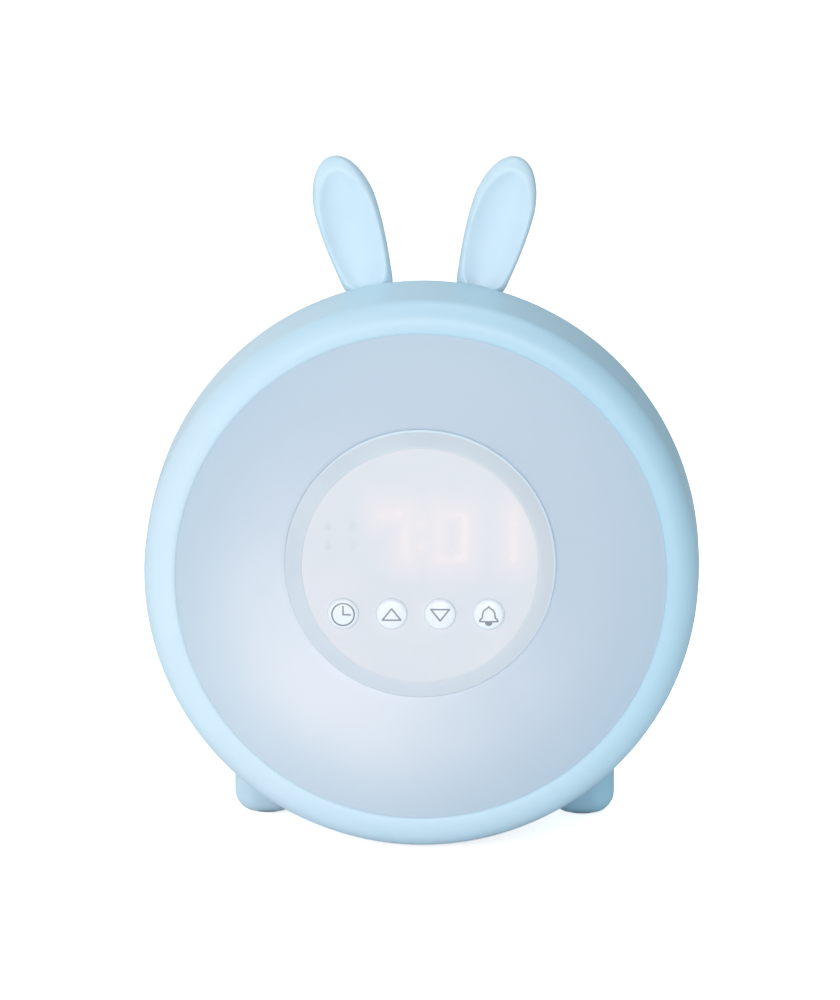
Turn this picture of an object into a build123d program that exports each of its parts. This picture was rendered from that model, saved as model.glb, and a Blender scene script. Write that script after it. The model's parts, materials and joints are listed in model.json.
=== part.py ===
from build123d import *
import math
import os

# Kids alarm clock with a night light: a round drum with a glowing face, two ears and two feet.
# The model is drawn about the drum's own axis: X to the right, Y back from the face seam, Z up.
# It is written out standing on the floor, with its origin under the middle of its outline.

# ---------------------------------------------------------------- drum skin
face_radius = 65.3          # edge of the glowing face
lip_crest_radius = 67.6     # foremost circle of the rounded front lip
lip_crest_rise = 0.9        # how far the crest stands before the face seam
lip_edge_rise = 0.55        # how far the lip's inner edge stands before the seam
lip_turn_depth = 4.6        # depth at which the lip has turned into the side
lip_radius = 73.9           # radius of the drum just behind the lip
belly_radius = 74.4         # widest circle of the drum
belly_depth = 22.0
waist_radius = 73.4         # where the side starts to close in
waist_depth = 41.0
parting_radius = 68.6       # circle where the shell meets the rear cover
parting_depth = 59.0
back_flat_radius = 55.0     # flat middle of the back
back_depth = 70.0           # depth of the flat back behind the face seam
skin = 2.4                  # wall of the shell and the rear cover
cover_gap = 0.1             # hairline between the shell and the rear cover
far = 100.0                 # beyond the model on every side
past = 1.0                  # how far a cut runs past the face it opens
rooted = 0.5                # how deep a boss or wall is rooted in what carries it

# ---------------------------------------------------------------- face and its seat
seam_gap = 0.15             # radial gap round the face
diffuser_wall = 2.0
diffuser_edge_rise = 0.3    # the face edge lies just below the lip's edge
dome_mid_radius = 50.0
dome_mid_rise = 3.25
dome_crown_rise = 5.4       # the dome's height at its middle, where the display is cut out
ledge_inner_radius = 61.0
ledge_front = 6.0           # the face skirt stands on this ledge
ledge_thickness = 2.0
lip_wall = 2.3              # inner wall of the hollow lip
lip_corner = 1.2            # slope in the hollow lip's front corner

# ---------------------------------------------------------------- display boss
display_height = 4.45       # the display's centre above the drum's axis
bezel_radius = 36.0
bezel_edge_rise = 4.95      # height of the boss's outer edge before the seam
bezel_step = 1.35           # the outer edge's height above its seat in the face
window_radius = 31.4
window_rise = 7.6           # front of the display window before the seam
window_thickness = 1.8
window_gap = 0.15
window_edge_round = 0.3
shoulder_width = 1.65       # ledge under the window
shoulder_thickness = 1.0
tube_wall = 2.05
tube_end_depth = 7.0
bezel_hole_gap = 0.15
seat_edge = 1.2             # the face's flat seat reaches this far past the lock ring
lock_ring_width = 3.4
lock_ring_thickness = 2.4
lock_notch_count = 8
lock_notch_size = 2.0

# ---------------------------------------------------------------- buttons
button_radius = 4.1
button_pitch = 12.87
button_row_height = -13.0   # below the display's centre
button_row_shift = -1.1     # the row stands a little left of the middle
button_gap = 0.12
button_rise = 1.1           # how far a cap stands before the window
button_crown = 0.25
button_travel = 0.6
button_flange_width = 0.9
button_flange_thickness = 0.8
button_flange_play = 0.1
button_stem_radius = 1.6
plunger_radius = 1.7
plunger_height = 1.4
plunger_gap = 0.1
switch_side = 6.0
switch_height = 3.4

# ---------------------------------------------------------------- display insides
board_thickness = 1.2
display_board_front = 1.4   # depth of the display board's front
frame_wall = 1.6
frame_gap = 0.15
baffle_height = -3.2        # top of the light baffle over the buttons
baffle_thickness = 1.0
digit_height = 13.2
digit_width = 8.0
digit_stroke = 1.7
digit_gap = 0.35            # gap between neighbouring segments
digit_pitch = 13.2
colon_space = 2.0           # extra space between the hours and the minutes
colon_radius = 0.9
digit_row_height = 7.4      # above the display's centre
segment_thickness = 0.2
display_margin = 0.7        # LED block beyond the digits
display_window_gap = 0.2    # between the segments and the window
back_cup_depth = 4.0
back_cup_floor = 1.6
display_boss_radius = 2.6
display_boss_place = 27.4
display_screw_radius = 1.0
display_screw_head_radius = 1.9
display_screw_head = 1.3
display_screw_angles = (90, 240, 300)
display_screw_short = 1.6   # a screw ends this far before its boss does
thread_gap = 0.05

# ---------------------------------------------------------------- light tray and its lamps
tray_wall = 1.6
tray_flange_gap = 0.65
tray_rim_radius = 59.6
tray_floor_radius = 56.0
tray_floor_depth = 20.0
tray_tube_radius = 38.6
tray_tube_top = 2.4
tray_rib_radius = 23.0
tray_rib_width = 1.6
tray_hub_gap = 1.4
tray_hole_radius = 12.0
tray_lug_radius = 3.2
tray_lug_count = 4
tray_lug_place = 68.9
tray_lug_floor = 0.6        # wall left in front of a lug's screw
light_board_inner = 45.2
light_board_outer = 55.2
light_board_thickness = 1.6
lamp_count = 12
lamp_side = 5.0
lamp_height = 1.6
lamp_dish = 0.4             # depth of the lens dish in a lamp
light_screw_count = 4
small_screw_radius = 1.1
small_head_radius = 2.1
small_head_height = 1.3
small_boss_radius = 2.6
small_boss_height = 3.4

# ---------------------------------------------------------------- ears
ear_foot_place = 15.2       # sideways place of an ear's foot on the drum
ear_lean = 16.5             # degrees
ear_depth_place = 49.5      # depth of the ear's middle
ear_thickness = 12.0
ear_round = 4.6
ear_foot_radius = 5.35      # the leaf's outline wraps three circles
ear_middle_radius = 8.4
ear_middle_height = 18.2
ear_top_radius = 7.4
ear_length = 35.9
ear_root = 8.0              # part of the ear hidden below the drum's skin
scoop_half_width = 5.9
scoop_half_length = 18.2
scoop_depth = 2.6
scoop_height = 14.6

# ---------------------------------------------------------------- feet and pads
foot_outer_place = 51.9     # outer side of a foot
foot_width = 17.6
foot_length = 19.0
foot_depth_place = 53.5
foot_top = 26.0             # height of the foot's block
foot_round = 6.0
pad_radius = 3.6
pad_thickness = 1.6
pad_rise = 0.5              # how far each pad stands out
pad_gap = 0.1
base_pad_width = 18.0
base_pad_length = 11.0
base_pad_round = 3.0

# ---------------------------------------------------------------- fixings of ears and feet
peg_half_width = 4.2
peg_half_depth = 3.0
peg_gap = 0.15
peg_boss_radius = 6.4
ear_seat_depth = 9.0        # seat of the washer below the drum's skin
foot_seat_height = -41.0    # seat of the washer, from the drum's axis
washer_radius = 5.4
washer_thickness = 1.2
fixing_screw_radius = 1.4
fixing_head_radius = 2.8
fixing_head_height = 2.0
fixing_screw_length = 16.0
fixing_room = 9.0           # free depth inside a washer's seat for its screw head

# ---------------------------------------------------------------- rear cover
skirt_depth = 4.0
skirt_wall = 1.8
skirt_gap = 0.25
cover_screw_place = 56.0
cover_screw_angles = (45, 135, 204, 336)
cover_post_radius = 3.6
cover_post_front = 30.0
cover_web = 2.0
cover_seat_depth = 3.2      # thickness under the screw head
cover_well_radius = 3.3
cover_well_wall = 1.2
cover_screw_radius = 1.4
cover_head_radius = 2.9
cover_head_height = 2.0
cover_screw_length = 13.0

# ---------------------------------------------------------------- speaker
speaker_place = 27.0        # above the drum's axis
speaker_radius = 18.0
speaker_flange = 1.2
speaker_gasket_width = 2.6
speaker_gasket_thickness = 0.8
speaker_basket_radius = 10.5
speaker_basket_depth = 8.0
speaker_basket_wall = 1.0
speaker_magnet_radius = 9.5
speaker_magnet_depth = 5.0
speaker_magnet_edge = 0.6
speaker_cone_wall = 0.5
speaker_dust_radius = 5.0
speaker_window_count = 4
speaker_window_width = 6.0
speaker_screw_count = 3
speaker_screw_offset = 2.1
speaker_screw_grip = 1.0
speaker_clamp_radius = 3.0
speaker_boss_radius = 1.8
speaker_gap = 0.2
speaker_cup_depth = 4.0
grille_radius = 14.0
grille_slot = 1.7
grille_pitch = 3.4

# ---------------------------------------------------------------- main board
main_board_width = 78.0
main_board_height = 60.0
main_board_thickness = 1.6
main_board_depth = 49.0     # depth of its rear face
main_board_round = 3.0
standoff_radius = 2.9
standoff_inset = 4.0
board_screw_length = 8.0

# ---------------------------------------------------------------- power inlet
inlet_place = 43.0          # to the right of the axis, seen from the front
inlet_height = 2.0
socket_width = 8.94
socket_height = 3.26
socket_length = 7.3
socket_wall = 0.31
socket_tongue_width = 6.7
socket_tongue = 0.7
socket_recess = 0.2         # mouth of the socket behind the cover's inner face
inlet_gap = 0.8             # cut-out round the socket's mouth
power_board_width = 14.0
power_board_length = 12.0
power_board_thickness = 1.2
rail_wall = 1.4
rail_height = 5.0
rail_gap = 0.1

# ---------------------------------------------------------------- battery compartment
cell_radius = 5.25
cell_length = 44.5
cell_count = 3
cell_gap = 0.7
contact_space = 3.7         # room for a contact at each end
tub_wall = 1.6
tub_top = -13.5             # upper inside wall, from the drum's axis
contact_strip = 7.0
contact_thickness = 0.4
contact_play = 0.6          # the bow stands this much short of the cell's end
door_thickness = 1.8
door_lap = 2.0              # the door laps the compartment's edge
door_gap = 0.25
door_round = 2.0
tab_place = 16.0
tab_width = 7.0
tab_thickness = 1.5
tab_reach = 1.8
tab_overlap = 1.2
tab_gap = 0.3
tab_slot_depth = 2.0
latch_width = 10.0
latch_thickness = 1.2
latch_depth = 3.0
latch_gap = 0.7
notch_radius = 7.0
notch_depth = 1.2

# ---------------------------------------------------------------- worked-out places
front_depth = -(window_rise + button_rise + button_crown)
floor_height = -(belly_radius + pad_rise)
shift = Pos(0, -(front_depth + back_depth) / 2, -floor_height)
seat_front = -(bezel_edge_rise - bezel_step)
window_back = window_thickness - window_rise
shoulder_back = window_back + shoulder_thickness
tube_inner_radius = window_radius + window_gap
tube_outer_radius = tube_inner_radius + tube_wall
ledge_back = ledge_front + ledge_thickness
tub_depth = 2 * cell_radius + cell_gap
tub_half_width = cell_length / 2 + contact_space
tub_height = cell_count * (2 * cell_radius + cell_gap)
tub_bottom = tub_top - tub_height
door_inner_depth = back_depth - door_thickness
tub_floor_depth = door_inner_depth - tub_depth
cover_inner_depth = back_depth - skin
display_back_depth = display_board_front + board_thickness + back_cup_depth + back_cup_floor
hub_front = display_back_depth + tray_hub_gap
display = Pos(0, 0, display_height)
button_names = ["time", "up", "down", "alarm"]
first_button = button_row_shift - button_pitch * (len(button_names) - 1) / 2
button_places = [first_button + button_pitch * index for index in range(len(button_names))]


def save(name, *solids):
    """One named piece, written in its place on the standing clock."""
    parts = [placed for solid in solids for placed in (shift * solid).solids()]
    export_step(parts[0] if len(parts) == 1 else Compound(children=parts), f"parts/{name}.step")


def turned(*points):
    """A ring or disc: a closed outline of (radius, depth) points turned about the drum's axis."""
    return revolve(make_face(Polyline(*points, close=True)), Axis.Y)


def along_depth(radius, start, end, x=0.0, z=0.0):
    """A cylinder along the depth axis from start to end."""
    return Pos(x, (start + end) / 2, z) * Rot(90, 0, 0) * Cylinder(radius, abs(end - start))


def block(low, high):
    """A box between two opposite corners."""
    size = [b - a for a, b in zip(low, high)]
    middle = [(a + b) / 2 for a, b in zip(low, high)]
    return Pos(*middle) * Box(*size)


def slab(sketch, start, end):
    """A flat outline drawn as the clock is seen from the front, from depth start to end."""
    front = Plane(origin=(0, end, 0), x_dir=(1, 0, 0), z_dir=(0, -1, 0))
    return extrude(front * sketch, abs(end - start))


def polar(radius, degrees):
    """Sideways and upright place of a point on a circle round the drum's axis."""
    return radius * math.cos(math.radians(degrees)), radius * math.sin(math.radians(degrees))


def screw(radius, length, head_radius, head_height):
    """A pan-head screw along +Z: its seat is at zero, its shank points down."""
    head = Pos(0, 0, head_height / 2) * Cylinder(head_radius, head_height)
    head = chamfer(head.faces().sort_by(Axis.Z)[-1].edges(), head_height * 0.3)
    head -= Pos(0, 0, head_height) * Box(head_radius * 1.2, 0.5, head_height * 0.7)
    head -= Pos(0, 0, head_height) * Box(0.5, head_radius * 1.2, head_height * 0.7)
    shank = Pos(0, 0, -length / 2) * Cylinder(radius, length)
    shank = chamfer(shank.faces().sort_by(Axis.Z)[0].edges(), radius * 0.5)
    return head + shank


def rear_screw(x, depth, z, radius, length, head_radius, head_height):
    """A screw driven from behind: its head's seat is at the given depth."""
    return Pos(x, depth, z) * Rot(-90, 0, 0) * screw(radius, length, head_radius, head_height)


def front_screw(x, depth, z, radius, length, head_radius, head_height):
    """A screw driven from the front: its head's seat is at the given depth."""
    return Pos(x, depth, z) * Rot(90, 0, 0) * screw(radius, length, head_radius, head_height)


# ================================================================ drum: skin and lip
def drum_side(inset):
    """Side and back of the drum as one smooth curve, moved inwards by inset."""
    return Spline(
        (lip_radius - inset, lip_turn_depth),
        (belly_radius - inset, belly_depth),
        (waist_radius - inset, waist_depth),
        (parting_radius - inset, parting_depth),
        (back_flat_radius - inset, back_depth - inset),
        tangents=[(0, 1), (-1, 0)],
    )


def drum_outside():
    """The whole drum as if it were solid, from the lip to the flat back."""
    lip_edge = (face_radius + seam_gap, -lip_edge_rise)
    crest = (lip_crest_radius, -lip_crest_rise)
    nose = Spline(lip_edge, crest, tangents=[(1, -0.3), (1, 0)])
    turn = EllipticalCenterArc(
        (lip_crest_radius, lip_turn_depth),
        lip_radius - lip_crest_radius,
        lip_turn_depth + lip_crest_rise,
        start_angle=270,
        arc_size=90,
    )
    closing = Polyline((back_flat_radius, back_depth), (0, back_depth), (0, -lip_edge_rise), lip_edge)
    return revolve(make_face(nose + turn + drum_side(0) + closing), Axis.Y)


def drum_inside():
    """The hollow of the drum behind the face's ledge."""
    side = drum_side(skin)
    front = Polyline(
        side @ 1,
        (0, cover_inner_depth),
        (0, lip_turn_depth),
        side @ 0,
    )
    hollow = revolve(make_face(side + front), Axis.Y)
    return hollow - along_depth(belly_radius, 0, ledge_back)


outside = drum_outside()
inside = drum_inside()
skin_body = outside - inside
in_front_of_parting = block((-far, -far, -far), (far, parting_depth, far))
behind_parting = block((-far, parting_depth + cover_gap, -far), (far, far, far))


# ================================================================ ears and feet: shapes and fixings
def ear_frame(side):
    """Frame on the drum's skin at an ear's foot: Z runs up the ear, Y back."""
    foot_height = math.sqrt(waist_radius**2 - ear_foot_place**2)
    return Pos(side * ear_foot_place, ear_depth_place, foot_height) * Rot(0, side * ear_lean, 0)


def ear_blank():
    """A rounded leaf, narrow at its foot and widest above its middle."""
    foot_circle = Pos(0, -ear_root) * Circle(ear_foot_radius)
    middle_circle = Pos(0, ear_middle_height) * Circle(ear_middle_radius)
    top_circle = Pos(0, ear_length - ear_top_radius) * Circle(ear_top_radius)
    leaf = make_hull(foot_circle.edges() + middle_circle.edges() + top_circle.edges())
    solid = slab(leaf, -ear_thickness / 2, ear_thickness / 2)
    across = solid.faces().sort_by(Axis.Y)
    return fillet(across[0].edges() + across[-1].edges(), ear_round)


def ear(side):
    """A scooped ear, seated on the drum's skin, with the peg that goes through it."""
    scoop = scale(Sphere(1), by=(scoop_half_width, scoop_depth, scoop_half_length))
    scooped = ear_blank() - Pos(0, -ear_thickness / 2, scoop_height) * scoop
    return ear_frame(side) * scooped - outside


def ear_fixing(side):
    """Frame of an ear's fixing: origin on the washer's seat, Z outwards."""
    return ear_frame(side) * Pos(0, 0, -ear_seat_depth)


def foot_fixing(side):
    """Frame of a foot's fixing: origin on the washer's seat, Z outwards, that is down."""
    place = side * (foot_outer_place - foot_width / 2)
    return Pos(place, foot_depth_place, foot_seat_height) * Rot(180, 0, 0)


def foot(side):
    """A rounded paw under the drum's rear quarter."""
    place = side * (foot_outer_place - foot_width / 2)
    sole = floor_height + pad_rise
    paw = Pos(place, foot_depth_place, sole + foot_top / 2) * Box(foot_width, foot_length, foot_top)
    paw = fillet(paw.edges(), foot_round)
    pad_seat = Cylinder(pad_radius + pad_gap, 2 * (pad_thickness - pad_rise))
    return paw - outside - Pos(place, foot_depth_place, sole) * pad_seat


def peg_outline(gap):
    return Ellipse(peg_half_width + gap, peg_half_depth + gap)


def peg(reach):
    """The oval peg of an ear or foot, from just short of the washer outwards."""
    return extrude(Pos(0, 0, pad_gap) * peg_outline(0), reach - pad_gap)


def peg_boss():
    return Pos(0, 0, far / 2) * Cylinder(peg_boss_radius, far)


def peg_bore():
    return extrude(peg_outline(peg_gap), far)


def screw_bore():
    return Pos(0, 0, fixing_screw_length / 2) * Cylinder(
        fixing_screw_radius + thread_gap, fixing_screw_length + 1
    )


def fixing_washer():
    washer = Pos(0, 0, -washer_thickness / 2) * Cylinder(washer_radius, washer_thickness)
    return washer - Cylinder(fixing_screw_radius + 2 * thread_gap, 10)


def fixing_screw():
    driven = screw(fixing_screw_radius, fixing_screw_length, fixing_head_radius, fixing_head_height)
    return Pos(0, 0, -washer_thickness) * Rot(180, 0, 0) * driven


fixings = {
    "left_ear": ear_fixing(-1),
    "right_ear": ear_fixing(1),
    "left_foot": foot_fixing(-1),
    "right_foot": foot_fixing(1),
}


def with_peg(solid, name, reach):
    """Adds the peg behind an ear or foot and bores it for its screw."""
    return solid + fixings[name] * peg(reach) - fixings[name] * screw_bore()


ear_peg_reach = ear_seat_depth + 1.5
foot_peg_reach = foot_seat_height - (floor_height + pad_rise) - foot_round - 4.0


# ================================================================ body shell
def cover_screw_centre(degrees):
    return polar(cover_screw_place, degrees)


def cover_post(degrees):
    """A screw post for the rear cover, tied to the skin by a web."""
    x, z = cover_screw_centre(degrees)
    post = along_depth(cover_post_radius, cover_post_front, parting_depth, x, z)
    web_length = belly_radius - cover_screw_place
    web = block(
        (0, cover_post_front, -cover_web / 2),
        (web_length, parting_depth, cover_web / 2),
    )
    turned_web = Rot(0, -degrees, 0) * Pos(cover_screw_place, 0, 0) * web
    return (post + turned_web) & outside


def cover_pilot(degrees):
    x, z = cover_screw_centre(degrees)
    deep = cover_screw_length - cover_seat_depth + past
    return along_depth(
        cover_screw_radius + thread_gap, parting_depth - deep, parting_depth + past, x, z
    )


def tray_lug_angles():
    return [180 / tray_lug_count + 360 / tray_lug_count * index for index in range(tray_lug_count)]


def body_shell():
    """The drum's skin with its hollow lip, the face's ledge and the inner posts."""
    shell = skin_body & in_front_of_parting
    shell -= along_depth(face_radius + seam_gap, -far, ledge_front)
    shell -= along_depth(ledge_inner_radius, -far, ledge_back + past)
    groove_inner = face_radius + seam_gap + lip_wall
    groove_outer = lip_radius - skin
    shell -= turned(
        (groove_inner, skin - lip_crest_rise),
        (groove_inner, ledge_back + rooted),
        (groove_outer, ledge_back + rooted),
        (groove_outer, lip_turn_depth + rooted),
        (groove_outer - lip_corner, skin),
    )
    for degrees in tray_lug_angles():
        x, z = polar(tray_lug_place, degrees)
        shell += along_depth(tray_lug_radius, skin, ledge_back, x, z) & outside
        pilot_front = skin + tray_lug_floor
        shell -= along_depth(small_screw_radius + thread_gap, pilot_front, ledge_back + past, x, z)
    for degrees in cover_screw_angles:
        shell += cover_post(degrees)
        shell -= cover_pilot(degrees)
    for frame in fixings.values():
        shell += (frame * peg_boss()) & outside & in_front_of_parting
        shell -= frame * peg_bore()
    pad_hole = RectangleRounded(
        base_pad_width + 2 * pad_gap, base_pad_length + 2 * pad_gap, base_pad_round
    )
    pad_floor = floor_height + pad_thickness
    pad_bed = RectangleRounded(base_pad_width + 2 * skin, base_pad_length + 2 * skin, base_pad_round)
    bed = Pos(0, belly_depth, pad_floor) * extrude(pad_bed, skin)
    shell += bed & outside
    shell -= Pos(0, belly_depth, floor_height - past) * extrude(pad_hole, pad_thickness + past)
    return shell


# ================================================================ face
def diffuser():
    """The milky domed face: its skirt stands on the ledge, a flat seat carries the display."""
    front = ThreePointArc(
        (0, -dome_crown_rise),
        (dome_mid_radius, -dome_mid_rise),
        (face_radius, -diffuser_edge_rise),
    )
    back = ThreePointArc(
        (face_radius - diffuser_wall, diffuser_wall - diffuser_edge_rise + 0.2),
        (dome_mid_radius, diffuser_wall - dome_mid_rise),
        (0, diffuser_wall - dome_crown_rise),
    )
    skirt = Polyline(
        (face_radius, -diffuser_edge_rise),
        (face_radius, ledge_front),
        (face_radius - diffuser_wall, ledge_front),
        back @ 0,
    )
    dome = revolve(make_face(front + skirt + back + Line(back @ 1, front @ 0)), Axis.Y)
    seat_back = seat_front + diffuser_wall
    seat_radius = tube_outer_radius + lock_ring_width + seat_edge
    dome += display * along_depth(seat_radius, seat_front, seat_back)
    dome -= display * along_depth(seat_radius - seat_edge, seat_back, far)
    dome -= display * along_depth(bezel_radius + bezel_hole_gap, -far, seat_front)
    return dome - display * along_depth(tube_outer_radius + bezel_hole_gap, -far, far)


# ================================================================ display boss
def display_bezel():
    """The raised frosted ring round the window, with the tube that goes through the face."""
    slope = ThreePointArc(
        (tube_inner_radius, -window_rise + 0.05),
        ((tube_inner_radius + bezel_radius) / 2, -(window_rise + bezel_edge_rise) / 2 - 0.25),
        (bezel_radius - 0.3, -bezel_edge_rise - 0.15),
    )
    section = Polyline(
        slope @ 1,
        (bezel_radius, -bezel_edge_rise + 0.2),
        (bezel_radius, seat_front),
        (tube_outer_radius, seat_front),
        (tube_outer_radius, tube_end_depth),
        (tube_inner_radius, tube_end_depth),
        (tube_inner_radius, shoulder_back),
        (tube_inner_radius - shoulder_width, shoulder_back),
        (tube_inner_radius - shoulder_width, window_back),
        (tube_inner_radius, window_back),
        slope @ 0,
    )
    return revolve(make_face(slope + section), Axis.Y)


def display_lock_ring():
    """The notched ring that clamps the bezel's tube behind the face."""
    back = seat_front + diffuser_wall
    ring_outer = tube_outer_radius + lock_ring_width
    ring = turned(
        (tube_outer_radius + thread_gap, back),
        (ring_outer, back),
        (ring_outer, back + lock_ring_thickness),
        (tube_outer_radius + thread_gap, back + lock_ring_thickness),
    )
    for index in range(lock_notch_count):
        x, z = polar(ring_outer, 360 / lock_notch_count * index)
        ring -= along_depth(lock_notch_size / 2, back - past, back + lock_ring_thickness + past, x, z)
    return ring


def display_window():
    """The white window with its four button holes."""
    disc = along_depth(window_radius, -window_rise, window_back)
    disc = fillet(disc.faces().sort_by(Axis.Y)[0].edges(), window_edge_round)
    for x in button_places:
        disc -= along_depth(
            button_radius + button_gap, -window_rise - past, window_back + past, x, button_row_height
        )
    return disc


# ================================================================ buttons and switches
flange_front = window_back + button_flange_play
flange_back = flange_front + button_flange_thickness
switch_front = display_board_front - switch_height
plunger_front = switch_front - plunger_height


def button(x):
    """A crowned cap with a retaining flange and a stem that presses the switch."""
    front = -window_rise - button_rise
    cap_side = Polyline(
        (0, flange_back),
        (0, front - button_crown),
    )
    crown = ThreePointArc(
        (0, front - button_crown),
        (button_radius * 0.55, front - button_crown * 0.75),
        (button_radius - 0.35, front + 0.1),
    )
    edge = Polyline(
        crown @ 1,
        (button_radius, front + 0.45),
        (button_radius, flange_front),
        (button_radius + button_flange_width, flange_front),
        (button_radius + button_flange_width, flange_back),
        (button_stem_radius, flange_back),
        (button_stem_radius, plunger_front),
        (0, plunger_front),
        (0, flange_back),
    )
    return Pos(x, 0, button_row_height) * revolve(make_face(cap_side + crown + edge), Axis.Y)


def plunger(x):
    """The switch's plunger, which moves with its button."""
    deep = switch_front + button_travel
    return along_depth(plunger_radius, plunger_front, deep, x, button_row_height)


def tact_switch(x):
    half = switch_side / 2
    case = block(
        (x - half, switch_front, button_row_height - half),
        (x + half, display_board_front, button_row_height + half),
    )
    well = switch_front + 2 * button_travel + plunger_gap
    return case - along_depth(
        plunger_radius + plunger_gap, switch_front - 1, well, x, button_row_height
    )


# ================================================================ display insides
frame_outer = tube_inner_radius - frame_gap
frame_inner = frame_outer - frame_wall
segment_front = window_back + display_window_gap
display_front = segment_front + segment_thickness


def display_frame():
    """The light-tight ring between the shoulder and the display board, with a baffle."""
    ring = turned(
        (frame_inner, shoulder_back),
        (frame_outer, shoulder_back),
        (frame_outer, display_board_front),
        (frame_inner, display_board_front),
    )
    baffle = block(
        (-frame_outer, segment_front, baffle_height - baffle_thickness),
        (frame_outer, display_board_front, baffle_height),
    )
    ring += baffle & along_depth(frame_inner + 0.2, -20, 20) & along_depth(
        tube_inner_radius - shoulder_width - 0.2, segment_front, display_board_front
    )
    ring += (baffle & along_depth(frame_outer, shoulder_back, display_board_front))
    for degrees in display_screw_angles:
        x, z = polar(display_boss_place, degrees)
        ring += along_depth(display_boss_radius, shoulder_back, display_board_front, x, z)
        ring -= along_depth(
            display_screw_radius + thread_gap, shoulder_back + 1.0, display_board_front + 1, x, z
        )
    return ring


digit_places = [
    side * (colon_space / 2 + digit_pitch * step)
    for side, step in ((-1, 1.5), (-1, 0.5), (1, 0.5), (1, 1.5))
]
segment_map = {"7": "abc", "0": "abcdef", "1": "bc", " ": ""}
shown_digits = " 701"


def segment_outline(length):
    """One lengthwise segment: a bar with pointed ends."""
    half, tip = length / 2, digit_stroke / 2
    return make_face(
        Polyline(
            (-half, 0), (-half + tip, tip), (half - tip, tip),
            (half, 0), (half - tip, -tip), (-half + tip, -tip),
            close=True,
        )
    )


def digit_segments():
    """The seven segments of a digit about its middle, by their usual letters."""
    across = digit_width - digit_stroke
    upright = (digit_height - digit_stroke) / 2
    side, rise = across / 2, upright / 2
    bar = segment_outline(across - digit_gap)
    post = Rot(0, 0, 90) * segment_outline(upright - digit_gap)
    return {
        "a": Pos(0, upright) * bar,
        "b": Pos(side, rise) * post,
        "c": Pos(side, -rise) * post,
        "d": Pos(0, -upright) * bar,
        "e": Pos(-side, -rise) * post,
        "f": Pos(-side, rise) * post,
        "g": bar,
    }


def display_segments():
    """Lit and unlit segments as two groups of thin plates."""
    lit, unlit = [], []
    for x, shown in zip(digit_places, shown_digits):
        for letter, outline in digit_segments().items():
            plate = slab(Pos(x, digit_row_height) * outline, segment_front, display_front)
            (lit if letter in segment_map[shown] else unlit).append(plate)
    for step in (-1, 1):
        height = digit_row_height + step * digit_height / 5
        lit.append(along_depth(colon_radius, segment_front, display_front, 0, height))
    return lit, unlit


def led_display():
    """The white block of the four digits, trimmed to the round housing."""
    half_width = digit_places[-1] + digit_width / 2 + display_margin
    half_height = digit_height / 2 + display_margin
    case = block(
        (-half_width, display_front, digit_row_height - half_height),
        (half_width, display_board_front, digit_row_height + half_height),
    )
    return case & along_depth(tube_inner_radius - shoulder_width - frame_gap, -20, 20)


def display_board():
    back = display_board_front + board_thickness
    board = along_depth(frame_outer, display_board_front, back)
    for degrees in display_screw_angles:
        x, z = polar(display_boss_place, degrees)
        board -= along_depth(
            display_screw_radius + 2 * thread_gap, display_board_front - 1, back + 1, x, z
        )
    return board


def display_back():
    """The cup that clamps the display board from behind."""
    front = display_board_front + board_thickness
    floor = front + back_cup_depth
    cup = turned(
        (frame_inner, front), (frame_outer, front), (frame_outer, display_back_depth),
        (0, display_back_depth), (0, floor), (frame_inner, floor),
    )
    for degrees in display_screw_angles:
        x, z = polar(display_boss_place, degrees)
        cup += along_depth(display_boss_radius, front, display_back_depth, x, z)
        cup -= along_depth(
            display_screw_radius + 2 * thread_gap, front - 1, display_back_depth + 1, x, z
        )
    slot = Pos(0, (floor + display_back_depth) / 2, 0) * Box(14, 3 * back_cup_floor, 4)
    return cup - slot


def display_screws():
    length = display_back_depth - shoulder_back - display_screw_short
    shape = (display_screw_radius, length, display_screw_head_radius, display_screw_head)
    places = [polar(display_boss_place, degrees) for degrees in display_screw_angles]
    return [rear_screw(x, display_back_depth, z, *shape) for x, z in places]


# ================================================================ light tray and lamps
light_board_front = tray_floor_depth - light_board_thickness
lamp_circle = (light_board_inner + light_board_outer) / 2


def light_screw_places():
    first = 180 / lamp_count
    step = 360 / light_screw_count
    return [polar(lamp_circle, first + step * index) for index in range(light_screw_count)]


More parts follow.
